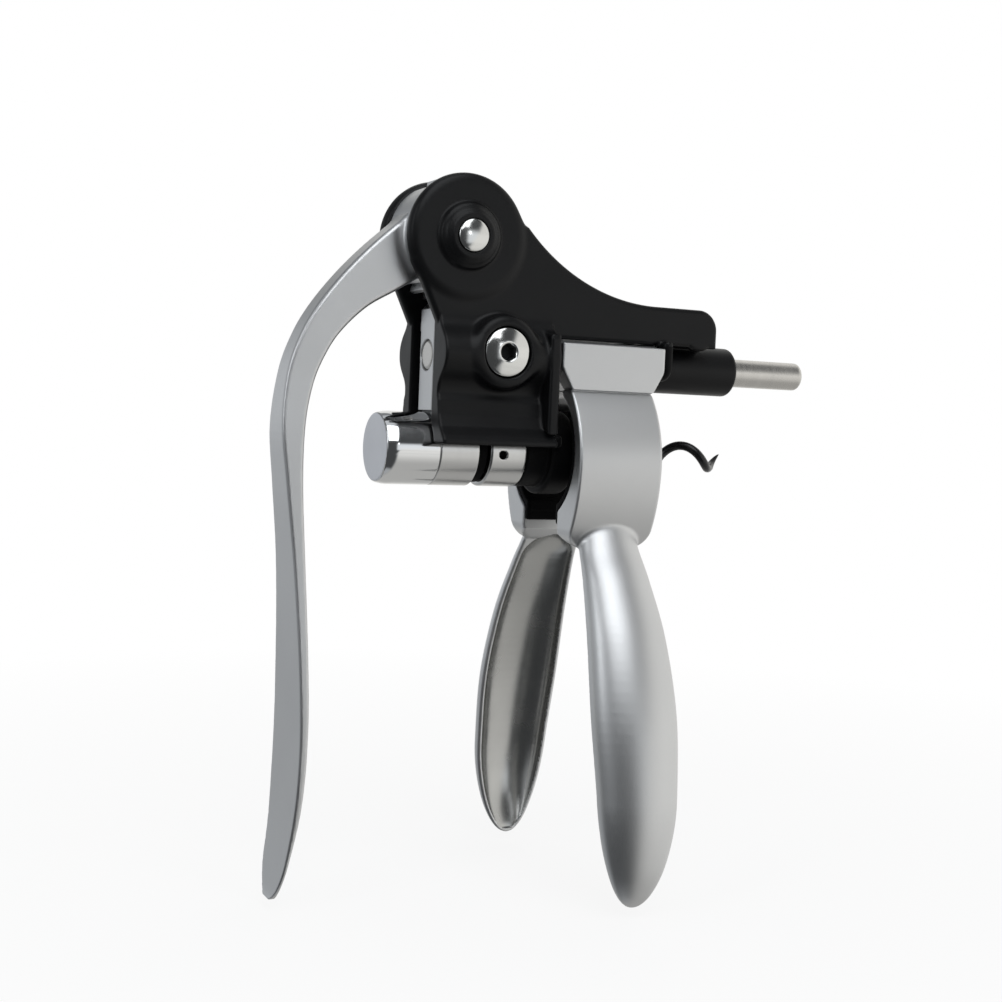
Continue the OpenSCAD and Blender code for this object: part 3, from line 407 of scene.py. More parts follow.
def cheek_outline(x, z):
    body = polygon(x, z, [
        (-DISC_R + 2, PZ - 7), (REAR_X, WZ + 31), (REAR_X, BLOCK_Z), (BLOCK_X, BLOCK_Z), (BLOCK_X, ARM_LOW),
        (ARM_END, ARM_LOW), (ARM_END, ROUND_Z), (ROUND_X, ARM_TOP), (SWEEP_X, ARM_TOP),
        (DISC_R / 2, PZ + DISC_R / 2), (0, PZ)])
    body = np.maximum(body, SWEEP_R - length(x - SWEEP_X, z - SWEEP_Z))
    body = np.minimum(body, length(x - ROUND_X, z - ROUND_Z) - ARM_ROUND)
    return smin(body, length(x, z - PZ) - DISC_R + 0.6, 2.0)


def cheek(x, y, z):
    edge = np.where((z < ARM_LOW) & (x < 25), 0.4, 1.3)
    plate = smax(cheek_outline(x, z), slab(y, INNER, WALL), edge)
    r = length(x, z - PZ)
    disc = smax(r - DISC_R, slab(y, INNER, DISC_Y), 2.6)
    boss = union(0.7, *(smax(r - radius, slab(y, WALL, face), soft) for radius, face, soft in BOSS_STEPS))
    rb = length(x - BOLT_X, z - BOLT_Z)
    bolt_boss = smax(rb - BOLT_BOSS_R, slab(y, INNER, BOLT_BOSS_Y), 2.2)
    rh = length(y - HINGE_Y, z - HZ)
    # Lower block: hinge barrel, wall and flared skirt as one profile along the worm
    wall = np.maximum(slab(y, INNER, WALL), slab(z, WZ + 7, WZ + 36))
    skirt = polygon(y, z - WZ, [(INNER, 12), (INNER, 1.6), (SKIRT_Y, 1.6), (SKIRT_Y, 2.6), (14.9, 4.0), (13.1, 6.0),
                                (11.6, 8.8), (WALL, 12)])
    block = smax(smin(smin(wall, rh - HINGE_BARREL_R, 4.0), skirt, 3.0), INNER - y, 0.3)
    block = smax(block, SADDLE_R - length(y, z - WZ), 0.5)
    block = smax(block, slab(x, REAR_X, BLOCK_X), 0.5)
    # Web across the block's front, and the ear that holds the hinge pin's other end
    front = polygon(y, z, [(INNER, ARM_LOW + 2.2), (15.8, ARM_LOW + 0.6), (SKIRT_Y, ARM_LOW - 0.6),
                           (SKIRT_Y, WZ + 4.4), (WALL, BLOCK_Z), (INNER, BLOCK_Z)])
    front = smax(front, slab(x, BLOCK_X - 3, BLOCK_X), 0.8)
    ear_y, ear_z = HINGE_Y + EAR_R, ARM_LOW + 0.8
    ear = np.minimum(rh - EAR_R, polygon(y, z, [(INNER, HZ), (ear_y, HZ), (ear_y, ear_z), (INNER, ear_z)]))
    ear = smax(smax(ear, slab(x, *EAR_X), 1.6), EAR_Y - y, 0.3)
    d = union(1.0, plate, disc)
    d = union(0.9, d, boss)
    d = np.minimum(d, block)
    d = union(1.4, d, bolt_boss)
    d = union(0.8, d, front)
    d = union(0.8, d, ear)
    d = smax(d, LEVER_PIN_BORE - r, 0.4)
    d = smax(d, -smax(rb - BOLT_SEAT_R, BOLT_SEAT_Y - y, 0.3), 0.6)
    d = smax(d, BOLT_BORE - rb, 0.2)
    return smax(d, -smax(rh - HINGE_BORE, HINGE_BORE_X - x, 0.2), 0.2)


# The ear at each cheek's front end gets the duller, darker black as painted shade, which hides its lit edge
for o in pair("cheek_casting", cheek, (-16, 4.4, WZ + 1), (75, 16.3, 181), 0.5, ("frame", "frame"), "black_plastic",
              BLACK, "cheek"):
    repaint(o, DULL_AND_SHADE, lambda x, y, z: (x > EAR_X[0] - 0.4) & (z < ARM_LOW - 0.4))


# ---- grips ----
# Height, middle across, half width and half thickness of a handle
HANDLE = spline([
    (98, 13.0, 7.4, 4.2), (94, 14.2, 7.8, 4.4), (88, 16.1, 8.4, 4.9), (80, 20.7, 9.32, 5.81),
    (66, 27.15, 10.86, 6.65), (47, 32.64, 11.8, 7.0), (27, 35.95, 10.97, 6.65), (12, 36.78, 10.4, 6.3),
    (4, 36.48, 10.1, 6.2), (0, 36, 9.9, 6.1)], 8)[::-1]
TIP_LENGTH = 27                  # height over which a handle's tip is rounded off
OPEN_SIDE = 0.2                  # place of a handle's open side, as a share of its half thickness
ROOT_Z, ROOT_HEIGHT = 86.5, 8.6  # dome at a handle's root
HOLLOW_TOP, HOLLOW_END, HOLLOW_LOW = 88.8, 6.0, 1.2
RISE_Z, RISE_LENGTH = 18, 17     # the hollow gets shallow towards the tip
WIDE_SHARE, WIDE_WALL = 0.98, 1.1
DEEP_SHARE, DEEP_WALL = 1.2, 2.2
HOLLOW_SKIN = 0.12               # faces this close to the hollow are its surface
GRIP_BORE = 2.55
KNUCKLE_R, KNUCKLE_HALF, KNUCKLE_LOW, CHAMFER = 4.9, 15.05, 16.4, 0.565
JAW_Y, JAW_Z, JAW_R, JAW_LONG, JAW_BORE = -6.4, -2, 27.7, 34.0, 17.6
JAW_HALF, JAW_LOW, JAW_ROUND = 12, -24, 5
JAW_CLIP = [(9.6, -20.9), (14.4, JAW_LOW), (23, JAW_LOW), (23, KNUCKLE_LOW), (9.6, KNUCKLE_LOW)]


def handle_at(z):
    """Middle and half sizes of a handle at a height, rounded off at its tip."""
    zz = np.clip(z, HANDLE[0, 0], HANDLE[-1, 0])
    y, a, b = (np.interp(zz, HANDLE[:, 0], HANDLE[:, i]) for i in (1, 2, 3))
    tip = np.sqrt(1 - np.clip((TIP_LENGTH - zz) / TIP_LENGTH, 0, 0.998) ** 1.9)
    return y, a * tip, b * tip


def ellipse(u, v, a, b):
    """Near distance to an ellipse with half sizes a and b."""
    s, t = u / a, v / b
    q = np.maximum(length(s, t), 1e-3)
    g = length(s / a, t / b) / q
    return np.where(q < 2e-3, -np.minimum(a, b), (q - 1) / np.maximum(g, 1e-5))


def hollow(x, y, z):
    """Space inside a handle, open towards the other handle."""
    yc, a, b = handle_at(z)
    share = np.sqrt(1 - np.clip((z - HOLLOW_TOP + HOLLOW_END) / HOLLOW_END, 0, 0.98) ** 2)
    rise = np.sqrt(1 - np.clip((RISE_Z - z) / RISE_LENGTH, 0, 0.98) ** 2)
    wide, deep = (WIDE_SHARE * a - WIDE_WALL) * share, (DEEP_SHARE * b - DEEP_WALL) * share * rise
    aa, bb = ((t + np.sqrt(t * t + 0.5)) / 2 for t in (wide, deep))
    v = np.maximum(y - yc + OPEN_SIDE * b, 0)
    return smax(smax(ellipse(x - GRIP_X, v, aa, bb), z - HOLLOW_TOP, 0.6), HOLLOW_LOW - z, 0.4)


def grip(x, y, z):
    u = x - GRIP_X
    w = z - WZ
    rh = length(y - HINGE_Y, z - HZ)
    plate = polygon(y, w, [(HINGE_Y, 19.1), (HINGE_Y, 25), (12.8, 26.8), (13.4, 28.2), (15.3, 28.2),
                           (15.3, KNUCKLE_LOW), (10.3, KNUCKLE_LOW)])
    knuckle = smax(smin(rh - KNUCKLE_R, plate, 0.6), np.abs(u) - KNUCKLE_HALF, 0.5)
    knuckle = smax(knuckle, (np.abs(u) - JAW_HALF - (w - KNUCKLE_LOW) * CHAMFER) * 0.87, 0.5)
    jaw = ellipse(y - JAW_Y, w - JAW_Z, JAW_R, np.where(w < JAW_Z, JAW_LONG, JAW_R))
    jaw = smax(jaw, polygon(y, w, JAW_CLIP), 0.9)
    jaw = smax(jaw, JAW_BORE - length(y, w), 0.5)
    q1, q2 = np.abs(u) - (JAW_HALF - JAW_ROUND), JAW_LOW + JAW_ROUND - w
    front = length(np.maximum(q1, 0), np.maximum(q2, 0)) + np.minimum(np.maximum(q1, q2), 0) - JAW_ROUND
    jaw = smax(jaw, front, 0.7)
    yc, a, b = handle_at(z)
    top = np.cbrt(1 - np.clip((z - ROOT_Z) / ROOT_HEIGHT, 0, 0.998) ** 3)
    a, b = a * top, b * top
    v = y - yc
    hand = smax(ellipse(u, v, a, b), -v - OPEN_SIDE * b, 0.7)
    hand = smax(hand, slab(z, 0.0, 95.2), 0.4)
    d = smin(np.minimum(knuckle, jaw), hand, 1.5)
    d = smax(d, -hollow(x, y, z), 0.4)
    return smax(d, GRIP_BORE - rh, 0.3)


# The hollows get the glossier finish, and their darker colour is painted shade
for o in pair("grip_casting", grip, (25, 4, 0), (56, 43, WZ + 29), 0.45, ("near_grip", "far_grip"), "satin_silver",
              SATIN_GRIP, "grip"):
    repaint(o, GLOSS_AND_SHADE, lambda x, y, z: hollow(x, np.abs(y), z) < HOLLOW_SKIN)


PAD_BORE, PAD_R, PAD_Y, PAD_HALF = 15.5, 17.55, 8.0, 11.6


def pad(x, y, z):
    r = length(y, z - WZ)
    arc = smax(smax(smax(r - PAD_R, PAD_BORE - r, 0.5), PAD_Y - y, 0.4), z - WZ - 11, 0.6)
    lip = smax(slab(y, PAD_Y, 9.55), slab(z - WZ, -18.4, -13), 0.6)
    return smax(smin(arc, lip, 0.5), np.abs(x - GRIP_X) - PAD_HALF, 0.7)


pair("neck_pad", pad, (28, 7, WZ - 19), (53, 18, WZ + 12), 0.45, ("near_grip", "far_grip"), "black_rubber", RUBBER,
     "pad")


# ---- lever ----
# Outer and inner line of the lever from the side, measured from its pivot
OUTER = [(-9, 9), (-15, 3.6), (-23, -3.6), (-30, -11), (-36, -18.8), (-40, -26), (-43, -35), (-44.3, -48),
         (-43, -62), (-41, -81), (-39.6, -103), (-39, -124), (-39.8, -144), (-42, -160), (-43, -164.4)]
INNER_LINE = [(-41.4, -164.4), (-40.8, -159), (-37.9, -142), (-36.8, -122), (-37.1, -101), (-37.9, -80),
              (-38.7, -61), (-38.3, -48), (-36.4, -38), (-33.6, -31), (-29.8, -25), (-23.4, -18.7), (-16, -14.2),
              (-9, -10)]
SIDE = np.concatenate([spline(OUTER, 7), spline(INNER_LINE, 7)])
# Height and half width
HALF = spline([(0, 7.6), (14, 9.24), (26, 10.67), (38, 11), (54, 10.23), (74, 8.36), (90, 7.04),
               (112, 5.9), (124, 4.9), (136, 4.5), (182, 4.5)], 6)
END_Z, END_R = 10, 10.6                                         # round lower end
EDGE_Z, EDGE_ROUND = [0, 60, 110, 140], [0.6, 0.7, 0.9, 1.1]    # edge rounding by height
HUB_R, HUB_HALF, HUB_BORE = 13.3, 6.4, 5.66
FLARE_R, FLARE_SECTOR = 14.2, [(0, 0), (-18, 6), (-22, -4), (-18, -13.5)]


def lever(x, y, z):
    w = np.interp(z, HALF[:, 0], HALF[:, 1])
    w = w * np.sqrt(1 - np.clip((END_Z - z) / END_R, 0, 0.97) ** 2)
    d = smax(polygon(x, z - PZ, SIDE), (np.abs(y) - w) * 0.98, np.interp(z, EDGE_Z, EDGE_ROUND))
    r = length(x, z - PZ)
    hub = smax(r - HUB_R, np.abs(y) - HUB_HALF, 0.8)
    flare = smax(r - FLARE_R, np.abs(y) - HUB_HALF + 0.1, 1.0)
    flare = smax(flare, polygon(x, z - PZ, FLARE_SECTOR), 1.5)
    d = smin(d, smin(hub, flare, 1.0), 2.2)
    return smax(d, HUB_BORE - r, 0.3)


shape("lever_casting", lever, (-45, -11.2, 0), (14, 11.2, PZ + 16), 0.4, "lever", "satin_silver", SATIN, "lever")

# Toothed rim of the hub
MODULE, COUNT, PRESSURE = 1.22, 24, math.radians(20)
PITCH_R = MODULE * COUNT / 2
BASE_R = PITCH_R * math.cos(PRESSURE)
TIP_R, ROOT_R = PITCH_R + 0.85, PITCH_R - 1.15
HALF_TOOTH = (math.pi * MODULE / 2 - 0.15) / 2 / PITCH_R
FLANK = HALF_TOOTH + math.tan(PRESSURE) - PRESSURE
FIRST_TOOTH, LAST_TOOTH = -2, 13    # counted from straight down
PLAIN_FROM, PLAIN_TO = 122, 231.5   # part of the rim without teeth, in degrees
RIM_BORE, RIM_BEVEL = 5.7, 0.25


def tooth():
    """Angles and radii along one involute tooth."""
    right = []
    for k in range(6):
        r = BASE_R + (TIP_R - BASE_R) * k / 5
        t = math.sqrt(max(0, (r / BASE_R) ** 2 - 1))
        right.append((FLANK - (t - math.atan(t)), r))
    left = [(-a, r) for a, r in right]
    return [(-FLANK - 0.007, ROOT_R)] + left + right[::-1] + [(FLANK + 0.007, ROOT_R)]


rim = []
for i in range(FIRST_TOOTH, LAST_TOOTH + 1):
    c = math.radians(-90 + 360 / COUNT * i)
    rim += [(c + a, r) for a, r in tooth()]
rim += [(math.radians(a), ROOT_R) for a in np.linspace(PLAIN_FROM - 8, PLAIN_FROM - 0.1, 4)]
rim += [(math.radians(a), TIP_R - 0.9) for a in np.linspace(PLAIN_FROM, PLAIN_TO, 40)]
side_v, side_f, n = [], [], len(rim)
flat = HUB_HALF - RIM_BEVEL
for half, cut in ((-HUB_HALF, RIM_BEVEL), (-flat, 0.0), (flat, 0.0), (HUB_HALF, RIM_BEVEL)):
    side_v += [((r - cut) * math.cos(a), half, PZ + (r - cut) * math.sin(a)) for a, r in rim]
for half in (HUB_HALF, -HUB_HALF):
    side_v += [(RIM_BORE * math.cos(a), half, PZ + RIM_BORE * math.sin(a)) for a, r in rim]
for row in range(6):
    up = (row + 1) % 6
    side_f += [(row * n + k, row * n + (k + 1) % n, up * n + (k + 1) % n, up * n + k) for k in range(n)]
gear = mesh_object("lever_gear", side_v, side_f, smooth=False)
place(gear, "lever", "satin_silver", SATIN)


# ---- pins and bolts ----
PIN_R, PIN_DOME = 4.05, 18
HEAD_R, HEAD_SEAT, HEAD_TOP, HEAD_DOME = 6.25, 11.5, 16, 22
SOCKET_HALF, SOCKET_FLOOR, SHANK_R = 1.85, 12.6, 2.5
SOCKET_SHADE_R, SOCKET_SHADE_Y = 2.25, 15.45    # faces inside these get painted shade, a near-black for the shade inside the socket
MOUTH_R, MOUTH_Y = 2.2, 15.7    # chamfer at the socket's mouth
COS_30 = 0.8660254


def domed(half, r, dome):
    """Profile of a pin with domed ends and rounded rims."""
    arc = [(half - dome + math.sqrt(dome * dome - q * q), q) for q in np.linspace(0, r - 0.35, 8)]
    edge = arc[-1][0]
    right = arc + [(edge - 0.12, r - 0.12), (edge - 0.45, r)]
    return [(-a, q) for a, q in right] + right[::-1]


place(lathe("lever_pin", domed(PIN_Y, PIN_R, PIN_DOME), (0, 0, PZ), "y"), "frame", "polished_metal", TURNED,
      "pivot_pin")


def bolt(x, y, z):
    u, w = x - BOLT_X, z - BOLT_Z
    r = length(u, w)
    dome = length(u, y - (HEAD_TOP - HEAD_DOME), w) - HEAD_DOME
    head = smax(smax(r - HEAD_R, HEAD_SEAT - y, 0.3), dome, 0.7)
    hexagon = np.maximum(np.abs(u), np.abs(u) * 0.5 + np.abs(w) * COS_30) - SOCKET_HALF
    mouth = (r - MOUTH_R - (y - MOUTH_Y) * 0.9) * 0.74
    socket = smax(smin(hexagon, mouth, 0.2), SOCKET_FLOOR - y, 0.2)
    shank = smax(r - SHANK_R, slab(y, 5.0, 12), 0.3)
    return smin(smax(head, -socket, 0.25), shank, 0.2)


for o in pair("socket_bolt", bolt, (3.5, 4.8, BOLT_Z - 6.5), (16.5, 16.2, BOLT_Z + 6.5), 0.3, ("frame", "frame"),
              "polished_metal", TURNED, "bolt"):
    # The socket's inside is painted near-black as shade
    repaint(o, PAINTED_SHADE_BLACK, lambda x, y, z: (np.abs(y) < SOCKET_SHADE_Y) & (length(x - BOLT_X, z - BOLT_Z) < SOCKET_SHADE_R))


# ---- frame pieces along the worm ----
TUBE_R, TUBE_BORE, TUBE_END = 6.6, 3.9, 84
BODY_HALF, WEB_HALF, BODY_END = 7.3, 4, 72.7


def front_guide(x, y, z):
    r = length(y, z - ROD_Z)
    tube = smax(r - TUBE_R, slab(x, GUIDE_X, TUBE_END), 1.0)
    along = slab(x, GUIDE_X, BODY_END)
    body = smax(smax(along, np.abs(y) - BODY_HALF, 0.8), slab(z, ARM_LOW, ARM_TOP - 2.5), 1.0)
    web = smax(smax(along, np.abs(y) - WEB_HALF, 0.8), slab(z, ROD_Z, ARM_LOW + 1), 0.5)
    return smax(union(0.8, tube, body, web), TUBE_BORE - r, 0.5)


shape("front_guide_tube", front_guide, (59, -7.4, ROD_Z - 6.8), (84.2, 7.4, ARM_TOP), 0.45, "frame", "black_plastic",
      BLACK, "front_rod_guide")


NUT_BORE, NUT_X = 4.8, (9.3, 19.6)
NUT_HOLES = [(5.5, 12.8), (95.5, 17.3)]    # turn about the worm's axis in degrees, place along it
HOLE_R = 1.0


def nut_bush(x, y, z):
    r = length(y, z - WZ)
    d = smax(smax(r - DRUM_R, NUT_BORE - r, 0.4), slab(x, *NUT_X), 0.7)
    for turn, at in NUT_HOLES:
        c, s = math.cos(math.radians(turn)), math.sin(math.radians(turn))
        along = -y * c - (z - WZ) * s
        across = -y * s + (z - WZ) * c
        d = smax(d, -smax(length(across, x - at) - HOLE_R, -along, 0.2), 0.35)
    return d


shape("nut_ring", nut_bush, (9, -9.4, WZ - 9.4), (20, 9.4, WZ + 9.4), 0.35, "frame", "satin_silver", SATIN_SOFT,
      "nut_bush")


HOUSING_X, HOUSING_R = 19.62, 9.0
NOSE_X, NOSE_R = (25.8, 33), 11
LUG_HALF, LUG_TOP, STOP_HALF = 7.15, 16.4, 13.4


def nut_block(x, y, z):
    r = length(y, z - WZ)
    body = smax(r - HOUSING_R, slab(x, HOUSING_X, 26.5), 0.6)
    nose = smax(r - NOSE_R, slab(x, *NOSE_X), 1.2)
    lug = smax(smax(slab(x, HOUSING_X, BLOCK_X), np.abs(y) - LUG_HALF, 0.6), slab(z - WZ, 0, LUG_TOP), 0.8)
    stop = smax(smax(slab(x, 25, 27.2), np.abs(y) - STOP_HALF, 0.8), slab(z - WZ, 1.6, 4.6), 0.8)
    return smax(union(0.6, body, nose, lug, stop), NUT_BORE - r, 0.5)


shape("nut_housing", nut_block, (19, -13.6, WZ - 11.2), (33.2, 13.6, WZ + 16.6), 0.45, "frame", "black_plastic",
      DULL_AND_SHADE, "nut_block")


# ---- carriage ----
STEM = [(-5.55, 9.6), (-4.4, 9.6), (-4.4, 7.6), (4.5, 7.6), (4.5, 29.7), (-2.6, 29.7), (-2.6, 36.6), (-3.9, 36.6),
        (-5.55, 35.2)]
STEM_HALF, STEM_BORE = 4.55, 3.87
WORM_AXIS = (0, 0, WZ)
RING_X, RING_BORE = (-8.9, 6.2), 4.66
SLEEVE_R, STEP_X = 6.98, -4.5            # rear part of the barrel that the cap sits on
CAP_X, CAP_INSIDE, CAP_ROUND = -18.6, -13.4, 3.4
BUMPER_X, BUMPER_R, BUMPER_BORE = (6.2, 9.0), 8.2, 4.8
ROD_X = (-5.5, 108)


def stem(x, y, z):
    d = smax(polygon(x, z - WZ, STEM), np.abs(y) - STEM_HALF, 0.6)
    return smax(d, STEM_BORE - length(y, z - ROD_Z), 0.35)


shape("carriage_stem", stem, (-5.6, -4.6, WZ + 7.4), (4.6, 4.6, WZ + 37), 0.35, "carriage", "satin_silver", SATIN,
      "carriage")
ring = lathe("carriage_ring", [
    (RING_X[0], RING_BORE), (RING_X[0], SLEEVE_R), (STEP_X, SLEEVE_R), (STEP_X + 0.05, DRUM_R), (RING_X[1], DRUM_R),
    (RING_X[1], RING_BORE), (RING_X[0], RING_BORE)], WORM_AXIS, "x", soft=0.35)
place(ring, "carriage", "satin_silver", SATIN_SOFT)
EDGE = [(CAP_X, 8.2), (CAP_X + 0.04, 8.42), (CAP_X + 0.15, 8.6)]
EDGE += [(CAP_X + t, DRUM_R - 0.05 * (CAP_ROUND - t) ** 2) for t in np.linspace(0.35, CAP_ROUND, 10)]
cap = lathe("chrome_cap", [(CAP_X, 0)] + EDGE + [
    (STEP_X, DRUM_R), (STEP_X, 7.0), (CAP_INSIDE, 7.0), (CAP_INSIDE, 0)], WORM_AXIS, "x", turns=128, soft=0.25)
place(cap, "carriage", "polished_metal", CHROME, "barrel_cap")
repaint(cap, CAP_FACE, lambda x, y, z: x < CAP_X + 0.05)
bump = lathe("bumper", [
    (BUMPER_X[0], BUMPER_BORE), (BUMPER_X[0], BUMPER_R), (BUMPER_X[1], BUMPER_R), (BUMPER_X[1], BUMPER_BORE),
    (BUMPER_X[0], BUMPER_BORE)], WORM_AXIS, "x", soft=0.5)
place(bump, "carriage", "black_rubber", RUBBER, "bumper_ring")
rod = lathe("slide_rod", [(ROD_X[0], 0), (ROD_X[0], ROD_R), (ROD_X[1], ROD_R), (ROD_X[1], 0)], (0, 0, ROD_Z), "x",
            soft=1.1)
place(rod, "carriage", "steel", STEEL, "guide_rod")

# ---- worm ----
PITCH, HELIX_R, WIRE_R, WORM_TIP = 18.0, 3.0, 1.2, 85.4
WORM_REAR, POINT_TURN = 2.2, 80     # rear end, and the degrees over which the wire thins to its point
PHASE_X = NUT_HOLES[0][1] + (3.25 - NUT_HOLES[0][0] / 360) * PITCH    # keeps the wire clear of the drive pins
SIDES, STEPS = 20, 40
v, f = [], []
xs = np.append(np.arange(WORM_REAR, WORM_TIP, PITCH / STEPS), WORM_TIP)
tv = np.array([PITCH / (2 * math.pi), HELIX_R])
tv /= np.linalg.norm(tv)
for x in xs:
    a = math.radians(90 + 360 * (x - PHASE_X) / PITCH)
    left = (WORM_TIP - x) / PITCH * 360
    r = WIRE_R * min(1.0, 0.06 + 0.94 * (left / POINT_TURN) ** 0.7)
    out = np.array([0, math.cos(a), math.sin(a)])
    side = np.array([-tv[1], -tv[0] * math.sin(a), tv[0] * math.cos(a)])
    c = np.array([x, HELIX_R * math.cos(a), WZ + HELIX_R * math.sin(a)])
    v += [c + r * (math.cos(2 * math.pi * k / SIDES) * out + math.sin(2 * math.pi * k / SIDES) * side)
          for k in range(SIDES)]
m = len(xs)
for i in range(m - 1):
    f += [(i * SIDES + k, i * SIDES + (k + 1) % SIDES, (i + 1) * SIDES + (k + 1) % SIDES, (i + 1) * SIDES + k)
          for k in range(SIDES)]
f += [tuple(range(SIDES))[::-1], tuple((m - 1) * SIDES + k for k in range(SIDES))]
place(mesh_object("worm_wire", v, f), "worm", "black_coating", COATED, "worm")


# ---- stage, light and camera ----
FLOOR_Z = -0.0027    # in metres; the handles' tips go 2.5 mm down when the grips close
bpy.ops.mesh.primitive_plane_add(size=8, location=(0, 0, FLOOR_Z))
floor = bpy.context.object
floor.name = "floor"
fm = bpy.data.materials.new("pale_floor")
fm.use_nodes = True
nt = fm.node_tree
b = nt.nodes["Principled BSDF"]
b.inputs["Base Color"].default_value = (0.9, 0.9, 0.9, 1)
b.inputs["Roughness"].default_value = 0.9
b.inputs["Specular IOR Level"].default_value = 0.1
# The camera sees white, with a faint shadow close to the part
lp = nt.nodes.new("ShaderNodeLightPath")
em = nt.nodes.new("ShaderNodeEmission")
em.inputs["Color"].default_value = (1, 1, 1, 1)
mx = nt.nodes.new("ShaderNodeMixShader")
tc = nt.nodes.new("ShaderNodeTexCoord")
away = nt.nodes.new("ShaderNodeVectorMath")
away.operation = "LENGTH"
fade = nt.nodes.new("ShaderNodeMapRange")
fade.inputs["From Min"].default_value = 0.05
fade.inputs["From Max"].default_value = 0.40
fade.inputs["To Min"].default_value = 0.87
fade.inputs["To Max"].default_value = 1.0
seen = nt.nodes.new("ShaderNodeMath")
seen.operation = "MULTIPLY"
nt.links.new(tc.outputs["Object"], away.inputs[0])
nt.links.new(away.outputs["Value"], fade.inputs["Value"])
nt.links.new(fade.outputs["Result"], seen.inputs[0])
nt.links.new(lp.outputs["Is Camera Ray"], seen.inputs[1])
nt.links.new(seen.outputs["Value"], mx.inputs["Fac"])
nt.links.new(b.outputs["BSDF"], mx.inputs[1])
nt.links.new(em.outputs["Emission"], mx.inputs[2])
nt.links.new(mx.outputs["Shader"], nt.nodes["Material Output"].inputs["Surface"])
floor.data.materials.append(fm)
floor.visible_glossy = False

# The world is painted by direction: X to the right, Y to the back, Z up
world = bpy.data.worlds.new("studio")
scene.world = world
world.use_nodes = True
nt = world.node_tree
bg = nt.nodes["Background"]
white = nt.nodes.new("ShaderNodeBackground")
white.inputs["Color"].default_value = (1, 1, 1, 1)
lp = nt.nodes.new("ShaderNodeLightPath")
mx = nt.nodes.new("ShaderNodeMixShader")
tc = nt.nodes.new("ShaderNodeTexCoord")
sep = nt.nodes.new("ShaderNodeSeparateXYZ")
nt.links.new(tc.outputs["Generated"], sep.inputs["Vector"])


def node_range(src, x0, x1, y0=0.0, y1=1.0):
    r = nt.nodes.new("ShaderNodeMapRange")
    r.interpolation_type = "SMOOTHSTEP"
    for key, val in zip(("From Min", "From Max", "To Min", "To Max"), (x0, x1, y0, y1)):
        r.inputs[key].default_value = val
    nt.links.new(src, r.inputs["Value"])
    return r.outputs["Result"]


def node_math(op, a, b):
    n = nt.nodes.new("ShaderNodeMath")
    n.operation = op
    nt.links.new(a, n.inputs[0])
    nt.links.new(b, n.inputs[1])
    return n.outputs["Value"]


def times(a, b):
    return node_math("MULTIPLY", a, b)


def most(a, b):
    return node_math("MAXIMUM", a, b)


def node_dot(direction):
    n = nt.nodes.new("ShaderNodeVectorMath")
    n.operation = "DOT_PRODUCT"
    n.inputs[1].default_value = direction
    nt.links.new(tc.outputs["Generated"], n.inputs[0])
    return n.outputs["Value"]


axis_x, axis_y, axis_z = (sep.outputs[k] for k in "XYZ")
# Cream wall at the right with a leaning edge, and below it a table with an upright edge
wall = times(node_range(node_dot((0.772, 0.320, -0.548)), -0.05, 0.07), node_range(axis_x, -0.10, 0.10))
table = times(node_range(node_dot((0.970, 0.242, 0.0)), -0.08, 0.08), node_range(axis_z, -0.30, -0.12, 1.0, 0.0))
side = most(table, times(wall, node_range(axis_z, -0.45, -0.2)))
cream = node_range(axis_z, -0.75, -0.2, 0.50, 0.92)
# Bright card at the right in front, level with the part
card = times(node_range(axis_z, -0.16, -0.06), node_range(axis_z, 0.12, 0.30, 1.0, 0.0))
card = times(times(node_range(axis_x, 0.12, 0.26), card), node_range(axis_y, -0.4, 0.0, 1.0, 0.0))
warm = most(times(side, cream), card)
# Cool walls at the left and behind, and a bright ceiling in a dark room
room = node_range(axis_z, 0.90, 0.97, 0.07, 0.70)
left = times(node_range(axis_x, -0.85, -0.35, 1.0, 0.0), node_range(axis_z, -0.20, 0.10, 0.08, 0.48))
back = times(node_range(axis_z, -0.20, 0.02, 0.44, 0.71), node_range(axis_z, 0.20, 0.42, 1.0, 0.35))
back = times(node_range(axis_y, 0.0, 0.6), back)
# Pale spots straight down, and high up at the back
under = node_range(axis_z, -0.97, -0.86, 0.45, 0.0)
over = times(node_range(axis_z, 0.78, 0.90, 0.0, 0.6), node_range(axis_y, 0.02, 0.25))
level = most(warm, most(most(left, back), room))
level = most(level, most(under, over))
nt.links.new(level, bg.inputs["Strength"])
tint = nt.nodes.new("ShaderNodeMix")
tint.data_type = "RGBA"
tint.inputs["A"].default_value = (0.93, 0.965, 1.0, 1)
tint.inputs["B"].default_value = (1.0, 0.993, 0.965, 1)
nt.links.new(side, tint.inputs["Factor"])
nt.links.new(tint.outputs["Result"], bg.inputs["Color"])
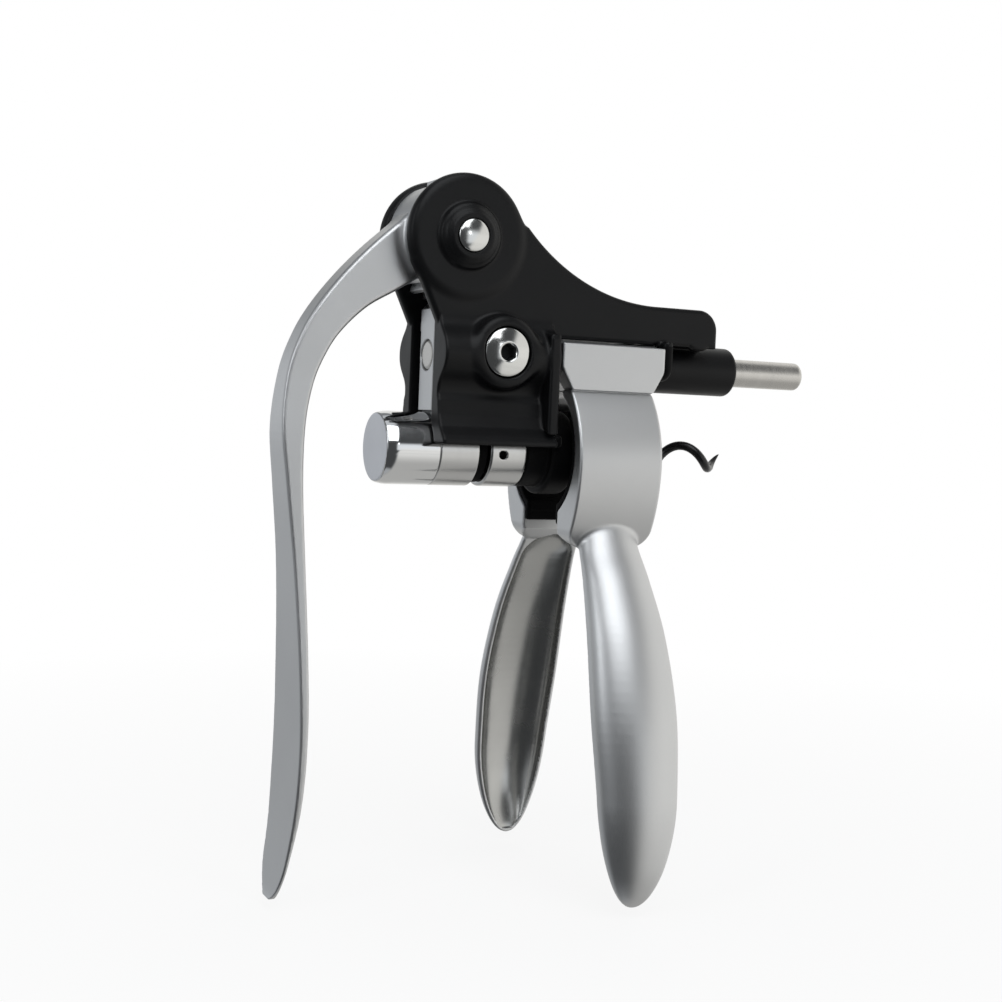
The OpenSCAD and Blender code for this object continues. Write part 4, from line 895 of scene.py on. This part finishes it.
# The camera sees white; shiny pieces see it only straight behind
behind = node_range(axis_y, 0.975, 0.992)
shiny = most(lp.outputs["Is Glossy Ray"], lp.outputs["Is Transmission Ray"])
shown = most(times(shiny, behind), lp.outputs["Is Camera Ray"])
nt.links.new(shown, mx.inputs["Fac"])
nt.links.new(bg.outputs["Background"], mx.inputs[1])
nt.links.new(white.outputs["Background"], mx.inputs[2])
nt.links.new(mx.outputs["Shader"], nt.nodes["World Output"].inputs["Surface"])


def softbox(name, place_at, aim, size, power, color):
    l = bpy.data.lights.new(name, "AREA")
    l.shape = "RECTANGLE"
    l.size, l.size_y = size
    l.energy = power
    l.color = color
    o = bpy.data.objects.new(name, l)
    scene.collection.objects.link(o)
    o.location = place_at
    o.visible_camera = False
    o.rotation_euler = (Vector(aim) - Vector(place_at)).to_track_quat("-Z", "Y").to_euler()


COOL = (0.95, 0.975, 1.0)
softbox("key_front", (-0.065, -0.539, 0.677), (0, 0, 0.06), (0.565, 0.73), 2.87, COOL)
softbox("key_low", (0.18, -0.79, 0.30), (0, 0, 0.10), (0.06, 0.06), 0.028, COOL)
softbox("strip_left", (-0.61, -0.28, 0.44), (0, 0, 0.40), (0.14, 0.42), 0.55, COOL)

# The photo's camera: angles in degrees, place in millimetres, focal length and picture width in pixels
AZ, EL, ROLL = 25.63, 3.03, -2.36
CAMERA_AT = (-153.2, -354.7, WZ + 7.8)
FOCAL_PX, PHOTO_PX, SENSOR = 1515.72, 1002, 36
az, el, ro = (math.radians(a) for a in (AZ, EL, ROLL))
fwd = np.array([math.sin(az) * math.cos(el), math.cos(az) * math.cos(el), -math.sin(el)])
right = np.array([math.cos(az), -math.sin(az), 0])
down = np.cross(fwd, right)
r2 = math.cos(ro) * right + math.sin(ro) * down
d2 = -math.sin(ro) * right + math.cos(ro) * down
cam = bpy.data.cameras.new("camera")
cam.sensor_width = SENSOR
cam.lens = FOCAL_PX / PHOTO_PX * SENSOR
cam.clip_start = 0.01
co = bpy.data.objects.new("camera", cam)
scene.collection.objects.link(co)
spot = to_frame(CAMERA_AT)
basis = np.stack([r2, -d2, -fwd], 1)
co.matrix_world = Matrix([[*basis[i], spot[i]] for i in range(3)] + [[0, 0, 0, 1]])
scene.camera = co
scene.view_settings.view_transform = "Standard"

bpy.context.view_layer.update()
